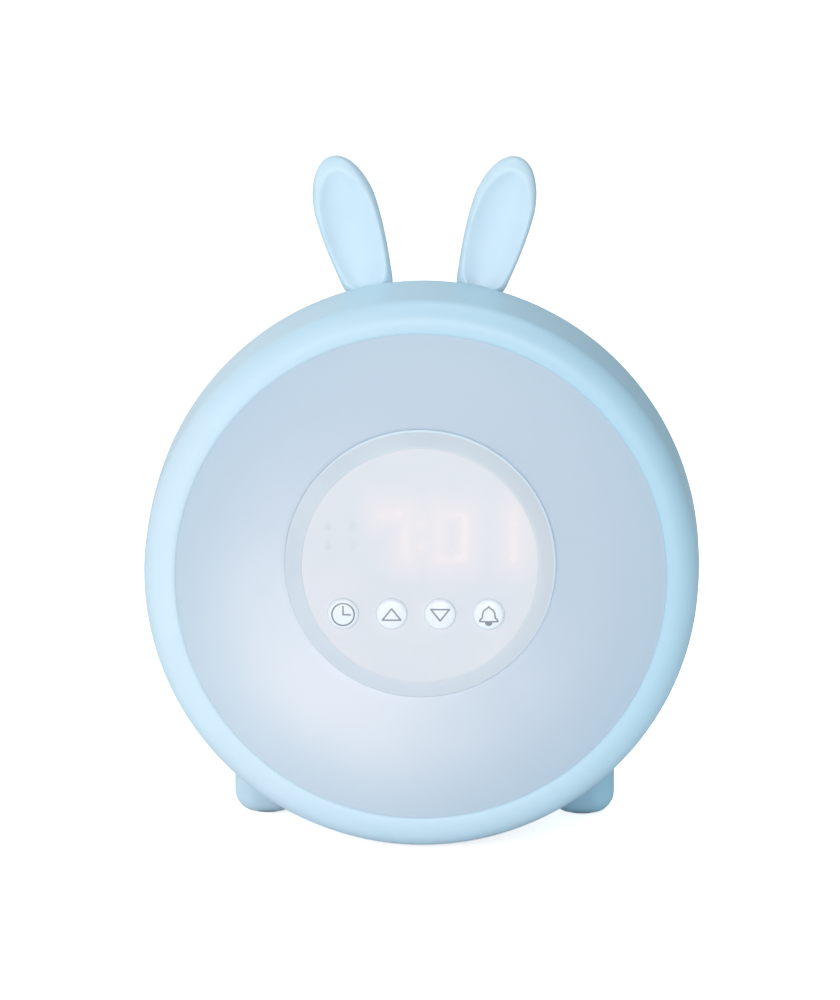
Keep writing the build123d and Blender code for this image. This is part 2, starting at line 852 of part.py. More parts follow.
def light_tray():
    """The white reflector tray behind the face; its hub presses on the display's back cup."""
    back = tray_floor_depth + tray_wall
    flange_outer = face_radius + seam_gap - tray_flange_gap
    flange_back = ledge_back + tray_wall
    rib_in = tray_rib_radius - tray_rib_width / 2
    rib_out = tray_rib_radius + tray_rib_width / 2
    tray = turned(
        (flange_outer, ledge_back),
        (tray_rim_radius, ledge_back),
        (tray_floor_radius, tray_floor_depth),
        (0, tray_floor_depth),
        (0, back),
        (tray_floor_radius + 1.2, back),
        (tray_rim_radius + 1.2, flange_back),
        (flange_outer, flange_back),
    )
    tray -= display * along_depth(tray_tube_radius + tray_wall / 2, tray_floor_depth - 1, back + 1)
    tray += display * turned(
        (tray_tube_radius, tray_tube_top),
        (tray_tube_radius + tray_wall, tray_tube_top),
        (tray_tube_radius + tray_wall, back),
        (tray_tube_radius, back),
        (tray_tube_radius, hub_front + tray_wall),
        (tray_hole_radius, hub_front + tray_wall),
        (tray_hole_radius, hub_front),
        (rib_in, hub_front),
        (rib_in, display_back_depth),
        (rib_out, display_back_depth),
        (rib_out, hub_front),
        (tray_tube_radius, hub_front),
    )
    for degrees in tray_lug_angles():
        x, z = polar(tray_lug_place, degrees)
        lug = along_depth(tray_lug_radius, ledge_back, flange_back, x, z)
        arm = Rot(0, -degrees, 0) * block(
            (tray_rim_radius + 2, ledge_back, -tray_lug_radius),
            (tray_lug_place, flange_back, tray_lug_radius),
        )
        tray += (lug + arm) & inside
        tray -= along_depth(small_screw_radius + 2 * thread_gap, ledge_back - 1, flange_back + 1, x, z)
    for x, z in light_screw_places():
        tray += along_depth(small_boss_radius, tray_floor_depth, back + small_boss_height, x, z)
        tray -= along_depth(
            small_screw_radius + thread_gap, tray_floor_depth - 1, back + small_boss_height - 1, x, z
        )
    return tray


def tray_screws():
    seat = ledge_back + tray_wall
    length = seat - skin - 2 * tray_lug_floor
    shape = (small_screw_radius, length, small_head_radius, small_head_height)
    places = [polar(tray_lug_place, degrees) for degrees in tray_lug_angles()]
    return [rear_screw(x, seat, z, *shape) for x, z in places]


def light_board():
    board = turned(
        (light_board_inner, light_board_front), (light_board_outer, light_board_front),
        (light_board_outer, tray_floor_depth), (light_board_inner, tray_floor_depth),
    )
    for x, z in light_screw_places():
        board -= along_depth(
            small_screw_radius + 2 * thread_gap, light_board_front - 1, tray_floor_depth + 1, x, z
        )
    return board


def light_lamps():
    """Square lamps spaced evenly round the light board."""
    half = lamp_side / 2
    lamp = block(
        (lamp_circle - half, light_board_front - lamp_height, -half),
        (lamp_circle + half, light_board_front, half),
    )
    lamp = chamfer(lamp.faces().sort_by(Axis.Y)[0].edges(), 0.3)
    lamp_front = light_board_front - lamp_height
    lamp -= along_depth(half * 0.75, lamp_front, lamp_front + lamp_dish, lamp_circle)
    return [Rot(0, -360 / lamp_count * index, 0) * lamp for index in range(lamp_count)]


def light_board_screws():
    length = light_board_thickness + tray_wall + small_boss_height - 1.4
    shape = (small_screw_radius, length, small_head_radius, small_head_height)
    return [front_screw(x, light_board_front, z, *shape) for x, z in light_screw_places()]


# ================================================================ rear cover
def well_seat():
    return parting_depth + cover_gap + cover_seat_depth


def tub_corners(margin):
    """Low and high corners of the battery space, widened by margin sideways."""
    low = (-tub_half_width - margin, tub_bottom - margin)
    high = (tub_half_width + margin, tub_top + margin)
    return low, high


def door_outline(gap):
    low, high = tub_corners(door_lap + gap)
    middle = (0, (low[1] + high[1]) / 2)
    return Pos(*middle) * RectangleRounded(high[0] - low[0], high[1] - low[1], door_round)


def grille_slots():
    """Rows of slots that fill a circle in front of the speaker."""
    rows = int(grille_radius / grille_pitch)
    slots = []
    for row in range(-rows, rows + 1):
        height = row * grille_pitch
        length = 2 * math.sqrt(grille_radius**2 - height**2)
        slot = Pos(0, speaker_place + height) * SlotOverall(length, grille_slot)
        slots.append(slab(slot, cover_inner_depth - 1, back_depth + 1))
    return slots


def standoff_places():
    half_width = main_board_width / 2 - standoff_inset
    half_height = main_board_height / 2 - standoff_inset
    return [(sx * half_width, sz * half_height) for sx in (-1, 1) for sz in (-1, 1)]


def speaker_screw_places():
    circle = speaker_radius + speaker_screw_offset
    step = 360 / speaker_screw_count
    places = [polar(circle, step / 4 + step * index) for index in range(speaker_screw_count)]
    return [(x, z + speaker_place) for x, z in places]


def rail(side):
    """One grooved rail that holds the power board's edge."""
    board_edge = inlet_place + side * power_board_width / 2
    top = inlet_height - socket_height / 2
    front = cover_inner_depth - power_board_length
    solid = block(
        (min(board_edge - side * 1.0, board_edge + side * rail_wall), front, top - rail_height),
        (max(board_edge - side * 1.0, board_edge + side * rail_wall), cover_inner_depth + 0.5, top + 1.4),
    )
    groove = block(
        (board_edge - 1.0 - rail_gap, front - 1, top - power_board_thickness - rail_gap),
        (board_edge + 1.0 + rail_gap, cover_inner_depth, top + rail_gap),
    )
    keep = block(
        (inlet_place - power_board_width / 2 - rail_gap, front - 2, top - power_board_thickness - rail_gap),
        (inlet_place + power_board_width / 2 + rail_gap, cover_inner_depth, top + rail_gap),
    )
    return solid - (groove & keep)


def rear_cover():
    """The back: its rounded rim, screw wells, speaker cup, battery tub and inlet."""
    cover = skin_body & behind_parting
    skirt_outer = parting_radius - skin - skirt_gap
    skirt = turned(
        (skirt_outer - skirt_wall, parting_depth - skirt_depth),
        (skirt_outer, parting_depth - skirt_depth),
        (skirt_outer, parting_depth + 2.0),
        (skirt_outer - skirt_wall, parting_depth + 2.0),
    )
    web_ring = turned(
        (skirt_outer - skirt_wall, parting_depth + cover_gap),
        (parting_radius - 0.8, parting_depth + cover_gap),
        (parting_radius - 2.0, parting_depth + 2.0),
        (skirt_outer - skirt_wall, parting_depth + 2.0),
    )
    for degrees in cover_screw_angles:
        x, z = cover_screw_centre(degrees)
        skirt_end = parting_depth - skirt_depth - past
        skirt -= along_depth(cover_post_radius + 3 * skirt_gap, skirt_end, parting_depth + cover_gap, x, z)
        web_cut = Rot(0, -degrees, 0) * block(
            (cover_screw_place, skirt_end, -cover_web / 2 - skirt_gap),
            (belly_radius, parting_depth + cover_gap, cover_web / 2 + skirt_gap),
        )
        skirt -= web_cut
    for frame in fixings.values():
        skirt -= frame * Pos(0, 0, far / 2 - washer_thickness) * Cylinder(peg_boss_radius + skirt_gap, far)
        skirt -= frame * Pos(0, 0, -fixing_room / 2) * Cylinder(washer_radius + skirt_gap, fixing_room)
    cover += skirt + (web_ring & outside)
    for degrees in cover_screw_angles:
        x, z = cover_screw_centre(degrees)
        pillar_radius = cover_well_radius + cover_well_wall
        cover += along_depth(pillar_radius, parting_depth + cover_gap, back_depth, x, z) & outside
        cover -= along_depth(cover_well_radius, well_seat(), back_depth + past, x, z)
        cover -= along_depth(cover_screw_radius + 3 * thread_gap, parting_depth - past, back_depth, x, z)

    low, high = tub_corners(tub_wall)
    cover += block((low[0], tub_floor_depth - tub_wall, low[1]), (high[0], back_depth, high[1]))
    low, high = tub_corners(0)
    cover -= block((low[0], tub_floor_depth, low[1]), (high[0], back_depth + 1, high[1]))
    cover -= slab(door_outline(door_gap), door_inner_depth, back_depth + 1)
    tab_half = tab_width / 2 + tab_gap
    tab_foot = tub_bottom - door_lap - tab_reach
    for side in (-1, 1):
        cover -= block(
            (side * tab_place - tab_half, door_inner_depth - tab_slot_depth, tab_foot - tab_gap),
            (side * tab_place + tab_half, door_inner_depth + 2 * tab_gap, tub_bottom + rooted),
        )
    cover -= along_depth(notch_radius, back_depth - notch_depth, back_depth + past, 0, tub_top + door_lap)

    ring_inner = speaker_radius + speaker_gap
    cup_front = cover_inner_depth - speaker_cup_depth
    cup = along_depth(ring_inner + skin / 2, cup_front, cover_inner_depth + rooted, 0, speaker_place)
    cup -= along_depth(ring_inner, cup_front - past, cover_inner_depth, 0, speaker_place)
    seat = cover_inner_depth - speaker_gasket_thickness - speaker_flange
    for x, z in speaker_screw_places():
        cup += along_depth(speaker_boss_radius, seat, cover_inner_depth + rooted, x, z)
        cup -= along_depth(speaker_clamp_radius + speaker_gap, cup_front - past, seat, x, z)
    cover += cup
    for x, z in speaker_screw_places():
        cover -= along_depth(small_screw_radius + thread_gap, seat - past, cover_inner_depth + rooted, x, z)
    for slot in grille_slots():
        cover -= slot

    for x, z in standoff_places():
        cover += along_depth(standoff_radius, main_board_depth, cover_inner_depth + rooted, x, z)
        pilot_end = main_board_depth + board_screw_length + past
        cover -= along_depth(small_screw_radius + thread_gap, main_board_depth - past, pilot_end, x, z)

    for side in (-1, 1):
        cover += rail(side)
    mouth = RectangleRounded(
        socket_width + 2 * inlet_gap, socket_height + 2 * inlet_gap, socket_height / 2 + inlet_gap - 0.1
    )
    cover -= slab(Pos(inlet_place, inlet_height) * mouth, cover_inner_depth - 0.1, back_depth + 1)
    return cover


def cover_screws():
    shape = (cover_screw_radius, cover_screw_length, cover_head_radius, cover_head_height)
    places = [cover_screw_centre(degrees) for degrees in cover_screw_angles]
    return [rear_screw(x, well_seat(), z, *shape) for x, z in places]


# ================================================================ speaker
speaker_face = cover_inner_depth - speaker_gasket_thickness
basket_back = speaker_face - speaker_flange - speaker_basket_depth


def speaker_frame():
    """A pressed basket with windows between its legs, seen from its flange."""
    basket = turned(
        (speaker_radius, speaker_face),
        (speaker_radius - speaker_gasket_width, speaker_face),
        (speaker_basket_radius - speaker_basket_wall, basket_back + speaker_basket_wall),
        (0, basket_back + speaker_basket_wall),
        (0, basket_back),
        (speaker_basket_radius, basket_back),
        (speaker_radius - speaker_gasket_width + speaker_basket_wall, speaker_face - speaker_flange),
        (speaker_radius, speaker_face - speaker_flange),
    )
    half = speaker_window_width / 2
    for index in range(speaker_window_count):
        window = block(
            (speaker_basket_radius, basket_back + 2.0, -half),
            (speaker_radius, speaker_face - speaker_flange - 1.0, half),
        )
        basket -= Rot(0, 45 + 360 / speaker_window_count * index, 0) * window
    return Pos(0, 0, speaker_place) * basket


def speaker_cone():
    """The paper cone and its dust cap."""
    rim = speaker_radius - speaker_gasket_width - 0.6
    front = speaker_face
    cone_back = basket_back + speaker_basket_wall + 1.2
    cone = turned(
        (rim, front - 0.3),
        (rim, front - 0.3 - speaker_cone_wall),
        (rim - 1.5, front - 1.0 - speaker_cone_wall),
        (speaker_dust_radius, cone_back),
        (speaker_dust_radius, cone_back - 1.2),
        (speaker_dust_radius - speaker_cone_wall, cone_back - 1.2),
        (speaker_dust_radius - speaker_cone_wall, cone_back + 0.9),
        (0, cone_back + 2.0),
        (0, cone_back + 2.6),
        (speaker_dust_radius, cone_back + 1.4),
        (rim - 1.9, front - 0.7),
    )
    return Pos(0, 0, speaker_place) * cone


def speaker_magnet():
    magnet_back = basket_back - speaker_magnet_depth
    pot = along_depth(speaker_magnet_radius, magnet_back, basket_back, 0, speaker_place)
    return chamfer(pot.faces().sort_by(Axis.Y)[0].edges(), speaker_magnet_edge)


def speaker_gasket():
    ring = turned(
        (speaker_radius, speaker_face), (speaker_radius, cover_inner_depth),
        (speaker_radius - speaker_gasket_width, cover_inner_depth),
        (speaker_radius - speaker_gasket_width, speaker_face),
    )
    return Pos(0, 0, speaker_place) * ring


def speaker_screws():
    seat = speaker_face - speaker_flange
    length = speaker_flange + speaker_screw_grip
    shape = (small_screw_radius, length, speaker_clamp_radius, small_head_height)
    return [front_screw(x, seat, z, *shape) for x, z in speaker_screw_places()]


# ================================================================ main board and power inlet
main_board_front = main_board_depth - main_board_thickness


def main_board():
    outline = RectangleRounded(main_board_width, main_board_height, main_board_round)
    board = slab(outline, main_board_front, main_board_depth)
    for x, z in standoff_places():
        board -= along_depth(
            small_screw_radius + 2 * thread_gap, main_board_front - 1, main_board_depth + 1, x, z
        )
    return board


def main_board_parts():
    """Chips, a crystal, capacitors and connectors on the board's front."""
    chips = [
        (-14, 8, 12, 12, 1.6), (10, 12, 9, 6, 1.5), (16, -10, 7, 7, 1.2), (-18, -14, 8, 5, 1.5),
        (28, 6, 5, 10, 5.0), (-30, 2, 5, 12, 5.0), (0, -22, 10, 4, 3.5),
    ]
    cans = [(2, -6, 4.0, 9.0), (24, -18, 3.15, 7.0), (-4, 22, 2.5, 6.0)]
    parts = [
        block((x - w / 2, main_board_front - t, z - h / 2), (x + w / 2, main_board_front, z + h / 2))
        for x, z, w, h, t in chips
    ]
    parts += [along_depth(r, main_board_front - t, main_board_front, x, z) for x, z, r, t in cans]
    return parts


def board_screws():
    shape = (small_screw_radius, board_screw_length, small_head_radius, small_head_height)
    return [front_screw(x, main_board_front, z, *shape) for x, z in standoff_places()]


power_board_top = inlet_height - socket_height / 2


def power_board():
    front = cover_inner_depth - power_board_length
    half = power_board_width / 2
    return block(
        (inlet_place - half, front, power_board_top - power_board_thickness),
        (inlet_place + half, cover_inner_depth - rail_gap, power_board_top),
    )


def power_socket():
    """A small power socket: an oval metal shell with a tongue inside."""
    mouth_depth = cover_inner_depth - socket_recess
    back = mouth_depth - socket_length
    place = Pos(inlet_place, inlet_height)
    shell = slab(place * RectangleRounded(socket_width, socket_height, 1.2), back, mouth_depth)
    inner = RectangleRounded(socket_width - 2 * socket_wall, socket_height - 2 * socket_wall, 0.95)
    shell -= slab(place * inner, back + 1.0, mouth_depth + 1)
    tongue = slab(place * Rectangle(socket_tongue_width, socket_tongue), back + 0.5, mouth_depth - 0.6)
    return shell + tongue


# ================================================================ battery compartment
def battery_contacts():
    """A bent spring strip at each end of every cell: a back plate and a bow in front of it."""
    half = contact_strip / 2
    bow = contact_space - contact_play
    outline = [
        (0, half),
        (0, -half),
        (contact_thickness + 0.3, -half),
        (bow, 0),
        (3 * contact_thickness, 0.75 * half),
        (2 * contact_thickness, 0.7 * half),
        (bow - 1.25 * contact_thickness, 0),
        (contact_thickness, 1.0 - half),
        (contact_thickness, half),
    ]
    middle = (tub_floor_depth + door_inner_depth) / 2
    strips = []
    for index in range(cell_count):
        z = tub_top - (index + 0.5) * tub_height / cell_count
        for side in (-1, 1):
            section = [(side * (tub_half_width - u), middle + v) for u, v in outline]
            strip = make_face(Polyline(*section, close=True))
            strips.append(Pos(0, 0, z - half) * extrude(strip, contact_strip, dir=(0, 0, 1)))
    return strips


def battery_door():
    """The flush door: two tabs at its foot hook the cover, a latch holds its top."""
    door = slab(door_outline(0), door_inner_depth, back_depth)
    foot_edge = tub_bottom - door_lap
    tab_front = door_inner_depth - tab_overlap
    for side in (-1, 1):
        door += block(
            (side * tab_place - tab_width / 2, tab_front, foot_edge - tab_reach),
            (side * tab_place + tab_width / 2, tab_front + tab_thickness, foot_edge + tab_overlap),
        )
    latch_top = tub_top - latch_gap
    door += block(
        (-latch_width / 2, door_inner_depth - latch_depth, latch_top - latch_thickness),
        (latch_width / 2, door_inner_depth + 0.2, latch_top),
    )
    return door


# ================================================================ pads
def foot_pads():
    pads = []
    for side in (-1, 1):
        place = side * (foot_outer_place - foot_width / 2)
        middle = Pos(place, foot_depth_place, floor_height + pad_thickness / 2)
        pads.append(middle * Cylinder(pad_radius, pad_thickness))
    return pads


def base_pad():
    outline = RectangleRounded(base_pad_width, base_pad_length, base_pad_round - pad_gap)
    return Pos(0, belly_depth, floor_height) * extrude(outline, pad_thickness)


# ================================================================ write every piece
os.makedirs("parts", exist_ok=True)
save("body_shell", body_shell())
save("rear_cover", rear_cover())
save("left_ear", with_peg(ear(-1), "left_ear", ear_peg_reach))
save("right_ear", with_peg(ear(1), "right_ear", ear_peg_reach))
save("left_foot", with_peg(foot(-1), "left_foot", foot_peg_reach))
save("right_foot", with_peg(foot(1), "right_foot", foot_peg_reach))
save("foot_pads", *foot_pads())
save("base_pad", base_pad())
save("fixing_washers", *[frame * fixing_washer() for frame in fixings.values()])
save("fixing_screws", *[frame * fixing_screw() for frame in fixings.values()])
save("diffuser", diffuser())
save("display_bezel", display * display_bezel())
save("display_lock_ring", display * display_lock_ring())
save("display_window", display * display_window())
save("display_frame", display * display_frame())
save("led_display", display * led_display())
lit_segments, unlit_segments = display_segments()
save("lit_segments", *[display * plate for plate in lit_segments])
save("unlit_segments", *[display * plate for plate in unlit_segments])
save("display_board", display * display_board())
save("tact_switches", *[display * tact_switch(x) for x in button_places])
for name, x in zip(button_names, button_places):
    save(f"{name}_button", display * button(x))
    save(f"{name}_plunger", display * plunger(x))
save("display_back", display * display_back())
save("display_screws", *[display * driven for driven in display_screws()])
save("light_tray", light_tray())
save("light_board", light_board())
save("light_lamps", *light_lamps())
save("light_board_screws", *light_board_screws())
save("tray_screws", *tray_screws())
save("main_board", main_board())
save("main_board_parts", *main_board_parts())
save("board_screws", *board_screws())
save("speaker_frame", speaker_frame())
save("speaker_cone", speaker_cone())
save("speaker_magnet", speaker_magnet())
save("speaker_gasket", speaker_gasket())
save("speaker_screws", *speaker_screws())
save("power_board", power_board())
save("power_socket", power_socket())
save("battery_contacts", *battery_contacts())
save("battery_door", battery_door())
save("cover_screws", *cover_screws())
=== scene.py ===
import bpy
import json
import math
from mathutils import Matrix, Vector

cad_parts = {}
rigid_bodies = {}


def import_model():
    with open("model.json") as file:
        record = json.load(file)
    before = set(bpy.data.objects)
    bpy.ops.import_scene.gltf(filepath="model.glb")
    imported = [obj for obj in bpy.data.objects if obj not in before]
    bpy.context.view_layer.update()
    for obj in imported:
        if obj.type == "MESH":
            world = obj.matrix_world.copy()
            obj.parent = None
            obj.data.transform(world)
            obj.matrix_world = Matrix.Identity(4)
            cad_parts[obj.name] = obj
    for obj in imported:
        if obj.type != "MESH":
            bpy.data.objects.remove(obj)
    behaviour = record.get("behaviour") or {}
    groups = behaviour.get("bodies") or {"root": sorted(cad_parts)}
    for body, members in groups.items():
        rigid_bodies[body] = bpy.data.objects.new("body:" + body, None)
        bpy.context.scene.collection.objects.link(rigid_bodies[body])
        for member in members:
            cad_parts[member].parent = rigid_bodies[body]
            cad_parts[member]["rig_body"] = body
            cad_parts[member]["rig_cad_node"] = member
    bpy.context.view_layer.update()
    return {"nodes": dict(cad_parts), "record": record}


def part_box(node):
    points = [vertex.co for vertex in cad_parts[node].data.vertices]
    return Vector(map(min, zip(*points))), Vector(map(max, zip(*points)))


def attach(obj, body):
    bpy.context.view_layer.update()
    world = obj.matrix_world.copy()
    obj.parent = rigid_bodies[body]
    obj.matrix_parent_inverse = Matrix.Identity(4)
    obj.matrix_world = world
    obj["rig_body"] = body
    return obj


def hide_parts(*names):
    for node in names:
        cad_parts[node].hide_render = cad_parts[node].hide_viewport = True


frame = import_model()
mm = 0.001

# the drum's axis and the plane of the face seam, read from the frame
faceLow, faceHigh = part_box("diffuser")
windowLow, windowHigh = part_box("display_window")
skirtDepth = 6.0    # how far the face's skirt reaches behind the seam, in millimetres
drum = {
    "axisZ": (faceLow.z + faceHigh.z) / 2,
    "seamY": faceHigh.y - skirtDepth * mm,
    "displayZ": (windowLow.z + windowHigh.z) / 2,
}
drum["lift"] = (drum["displayZ"] - drum["axisZ"]) / mm     # the display's centre above the axis


def tone(red, green, blue):
    # a colour as seen on screen, 0 to 255, made linear for the shaders
    linear = []
    for part in (red / 255, green / 255, blue / 255):
        linear.append(part / 12.92 if part <= 0.04045 else ((part + 0.055) / 1.055) ** 2.4)
    return tuple(linear) + (1.0,)


class Wire:
    # wraps a socket, so that shader maths reads as plain expressions
    def __init__(self, tree, socket=None):
        self.tree = tree
        self.socket = socket

    def node(self, kind, settings=None, inputs=None, output=0):
        made = self.tree.nodes.new(kind)
        for key, value in (settings or {}).items():
            setattr(made, key, value)
        for key, value in (inputs or {}).items():
            if isinstance(value, Wire):
                self.tree.links.new(value.socket, made.inputs[key])
            else:
                made.inputs[key].default_value = value
        return Wire(self.tree, made.outputs[output] if made.outputs else None)

    def math(self, operation, *others):
        inputs = {0: self}
        inputs.update({i + 1: other for i, other in enumerate(others)})
        return self.node("ShaderNodeMath", {"operation": operation}, inputs)

    def flipped(self, operation, other):
        return self.node("ShaderNodeMath", {"operation": operation}, {0: other, 1: self})

    def __add__(self, other):
        return self.math("ADD", other)

    def __radd__(self, other):
        return self.math("ADD", other)

    def __sub__(self, other):
        return self.math("SUBTRACT", other)

    def __rsub__(self, other):
        return self.flipped("SUBTRACT", other)

    def __mul__(self, other):
        return self.math("MULTIPLY", other)

    def __rmul__(self, other):
        return self.math("MULTIPLY", other)

    def __truediv__(self, other):
        return self.math("DIVIDE", other)

    def __rtruediv__(self, other):
        return self.flipped("DIVIDE", other)

    def __abs__(self):
        return self.math("ABSOLUTE")

    def least(self, other):
        return self.math("MINIMUM", other)

    def most(self, other):
        return self.math("MAXIMUM", other)

    def root(self):
        return self.math("SQRT")

    def ease(self, low, high):
        # 0 below low, 1 above high, smooth between
        inputs = {"Value": self, "From Min": low, "From Max": high}
        return self.node("ShaderNodeMapRange", {"interpolation_type": "SMOOTHSTEP"}, inputs)

    def blend(self, first, second):
        # colours mixed by this wire as the factor
        inputs = {0: self, 6: first, 7: second}
        return self.node("ShaderNodeMix", {"data_type": "RGBA"}, inputs, 2)


def newMaterial(name, constants):
    material = bpy.data.materials.new(name)
    material.use_nodes = True
    material.node_tree.nodes.clear()
    start = Wire(material.node_tree)
    shader = start.node("ShaderNodeBsdfPrincipled", inputs=constants)
    start.node("ShaderNodeOutputMaterial", inputs={0: shader})
    return material, start, shader


def feed(shader, socketName, wire):
    wire.tree.links.new(wire.socket, shader.socket.node.inputs[socketName])


def objectPlace(start):
    return start.node("ShaderNodeTexCoord", output=3)


axes = {"across": (0, 0.0), "deep": (1, drum["seamY"]), "up": (2, drum["axisZ"])}


def inMm(start, place, axis):
    # millimetres across from the middle, deep from the seam, or up from the drum's axis
    number, origin = axes[axis]
    metres = start.node("ShaderNodeSeparateXYZ", inputs={0: place}, output=number)
    return (metres - origin) * (1 / mm)


def noise(start, place, grainSize, detail=3.0, rough=0.5):
    # 0 to 1, with grains of about grainSize, in metres
    inputs = {"Vector": place, "Scale": 1 / grainSize, "Detail": detail, "Roughness": rough}
    return start.node("ShaderNodeTexNoise", inputs=inputs)


def softNoise(start, place, grainSize, detail=3.0):
    # the same noise with more of its surface near 0 and near 1
    return noise(start, place, grainSize, detail).ease(0.3, 0.7)


def bumped(start, height, distance, strength=0.5):
    inputs = {"Height": height, "Distance": distance, "Strength": strength}
    return start.node("ShaderNodeBump", inputs=inputs)


plasticLook = {
    "grain": 0.35 * mm,          # fine spark-eroded texture of the mould
    "cloud": 28 * mm,            # slow drift of tone over the moulding
    "flow": 6 * mm,              # smaller marks where the plastic ran in
    "cloudShare": 0.7, "flowShare": 0.3,
    "flowRough": 0.10, "grainRough": 0.06,
    "lean": (0.95, 0.27),        # painted shade: the housing is painted darker towards its upper right, away from the light
    "span": 72.0,
}


def mouldedPlastic(name, colour, deeper, roughness, grainDepth=0.012 * mm, farColour=None):
    look = plasticLook
    material, start, shader = newMaterial(name, {"IOR": 1.49})
    place = objectPlace(start)
    cloud = noise(start, place, look["cloud"], 2.0)
    flow = noise(start, place, look["flow"], 4.0)
    grain = noise(start, place, look["grain"], 2.0, 0.6)
    drift = (cloud * look["cloudShare"] + flow * look["flowShare"]).ease(0.3, 0.7)
    base = drift.blend(deeper, colour)
    # painted shade: towards the upper right the colour is blended into a darker one, where less
    # light falls
    if farColour:
        across, up = inMm(start, place, "across"), inMm(start, place, "up")
        side = across * look["lean"][0] + up * look["lean"][1]
        side = (side / (2 * look["span"]) + 0.5).most(0.0).least(1.0)
        base = side.blend(base, farColour)
    feed(shader, "Base Color", base)
    uneven = roughness + (flow - 0.5) * look["flowRough"] + (grain - 0.5) * look["grainRough"]
    feed(shader, "Roughness", uneven)
    feed(shader, "Normal", bumped(start, grain * 0.8 + flow * 0.2, grainDepth))
    return material


def segmentDistance(across, up, start, end):
    # distance in millimetres from a straight line between two points
    (ax, az), (bx, bz) = start, end
    lengthSquared = (bx - ax) ** 2 + (bz - az) ** 2
    shareX, shareZ = (bx - ax) / lengthSquared, (bz - az) / lengthSquared
    along = ((across - ax) * shareX + (up - az) * shareZ).most(0.0).least(1.0)
    gapX = across - ax - along * (bx - ax)
    gapZ = up - az - along * (bz - az)
    return (gapX * gapX + gapZ * gapZ).root()


def barDistance(across, up, middle, half):
    # distance from an upright bar or block, none inside it
    gapX = (abs(across - middle[0]) - half[0]).most(0.0)
    gapZ = (abs(up - middle[1]) - half[1]).most(0.0)
    return (gapX * gapX + gapZ * gapZ).root()


def frameDistance(across, up, middle, half):
    # distance from the outline of an upright rectangle
    sideX = abs(across - middle[0]) - half[0]
    sideZ = abs(up - middle[1]) - half[1]
    outX = sideX.most(0.0)
    outZ = sideZ.most(0.0)
    outside = (outX * outX + outZ * outZ).root()
    inside = sideX.most(sideZ).least(0.0)
    return abs(outside + inside)


display = {
    # lengths in millimetres
    "rowHeight": 8.0,            # above the display's centre
    "rowShift": 0.84,            # to the right of it
    "pitch": 13.2,
    "colonSpace": 1.8,
    "colonRise": 2.9,            # each dot of the colon from the row's middle
    "halfWidth": 3.3,            # middle line of the side segments
    "halfHeight": 5.75,
    "stroke": 0.85,              # half the width of a segment
    "coreEdge": (-0.4, 2.9),     # where a segment starts to fade, and how many strokes on it ends
    "haloReach": 10.0, "haloShare": 0.75, "coreShare": 0.8,
    # of the unlit digit only the middles of its upright segments show, as faint spots
    "spotShift": 1.3, "spotRise": 2.7, "spotHalf": 0.55, "spotEdge": (0.1, 1.4),
    "groundCool": tone(222, 223, 229),
    "groundWarm": tone(226, 225, 230),
    "halo": tone(236, 227, 229),
    "core": tone(243, 231, 231),
    "unlit": tone(210, 214, 218),
}


def windowPlastic():
    # the digits shine softly through the white window
    constants = {"IOR": 1.49, "Emission Strength": 0.03, "Specular IOR Level": 0.25}
    material, start, shader = newMaterial("windowWhite", constants)
    place = objectPlace(start)
    across = inMm(start, place, "across") - display["rowShift"]
    up = inMm(start, place, "up") - drum["lift"] - display["rowHeight"]
    first = display["colonSpace"] / 2 + display["pitch"] / 2
    outer = display["colonSpace"] / 2 + display["pitch"] * 1.5
    side, rise = display["halfWidth"], display["halfHeight"]
    seven = barDistance(across, up, (-first, rise), (side, 0.0))
    seven = seven.least(barDistance(across, up, (-first + side, 0.0), (0.0, rise)))
    zero = frameDistance(across, up, (first, 0.0), (side, rise))
    one = barDistance(across, up, (outer + side, 0.0), (0.0, rise))
    dotPlace = (0.0, display["colonRise"])
    dots = barDistance(across + display["rowShift"], abs(up), dotPlace, (0.0, 0.0))
    lit = seven.least(zero).least(one).least(dots)
    blur = noise(start, place, 3.5 * mm, 3.0) - 0.5
    patch = softNoise(start, place, 6 * mm, 2.0)
    fadeStart, fadeStrokes = display["coreEdge"]
    core = 1 - (lit + blur * 2.0).ease(fadeStart, display["stroke"] * fadeStrokes)
    core = core * (patch * 0.6 + 0.3)
    halo = 1 - (lit + blur * 2.5).ease(0.0, display["haloReach"])
    spotMiddle, spotHalf = (side, display["spotRise"]), (0.0, display["spotHalf"])
    spots = barDistance(abs(across + outer + display["spotShift"]), abs(up), spotMiddle, spotHalf)
    ghost = (1 - (spots + blur * 1.2).ease(*display["spotEdge"])) * (patch * 0.4 + 0.35)
    cloud = softNoise(start, place, 20 * mm)
    colour = cloud.blend(display["groundCool"], display["groundWarm"])
    colour = ghost.blend(colour, display["unlit"])
    colour = (halo * display["haloShare"]).blend(colour, display["halo"])
    colour = (core * display["coreShare"]).blend(colour, display["core"])
    feed(shader, "Base Color", colour)
    glow = halo * 0.4 + core * 0.6
    feed(shader, "Emission Color", glow.blend(tone(0, 0, 0), display["core"]))
    grain = noise(start, place, 0.4 * mm, 2.0)
    feed(shader, "Roughness", 0.38 + grain * 0.08)
    feed(shader, "Normal", bumped(start, grain, 0.006 * mm))
    return material


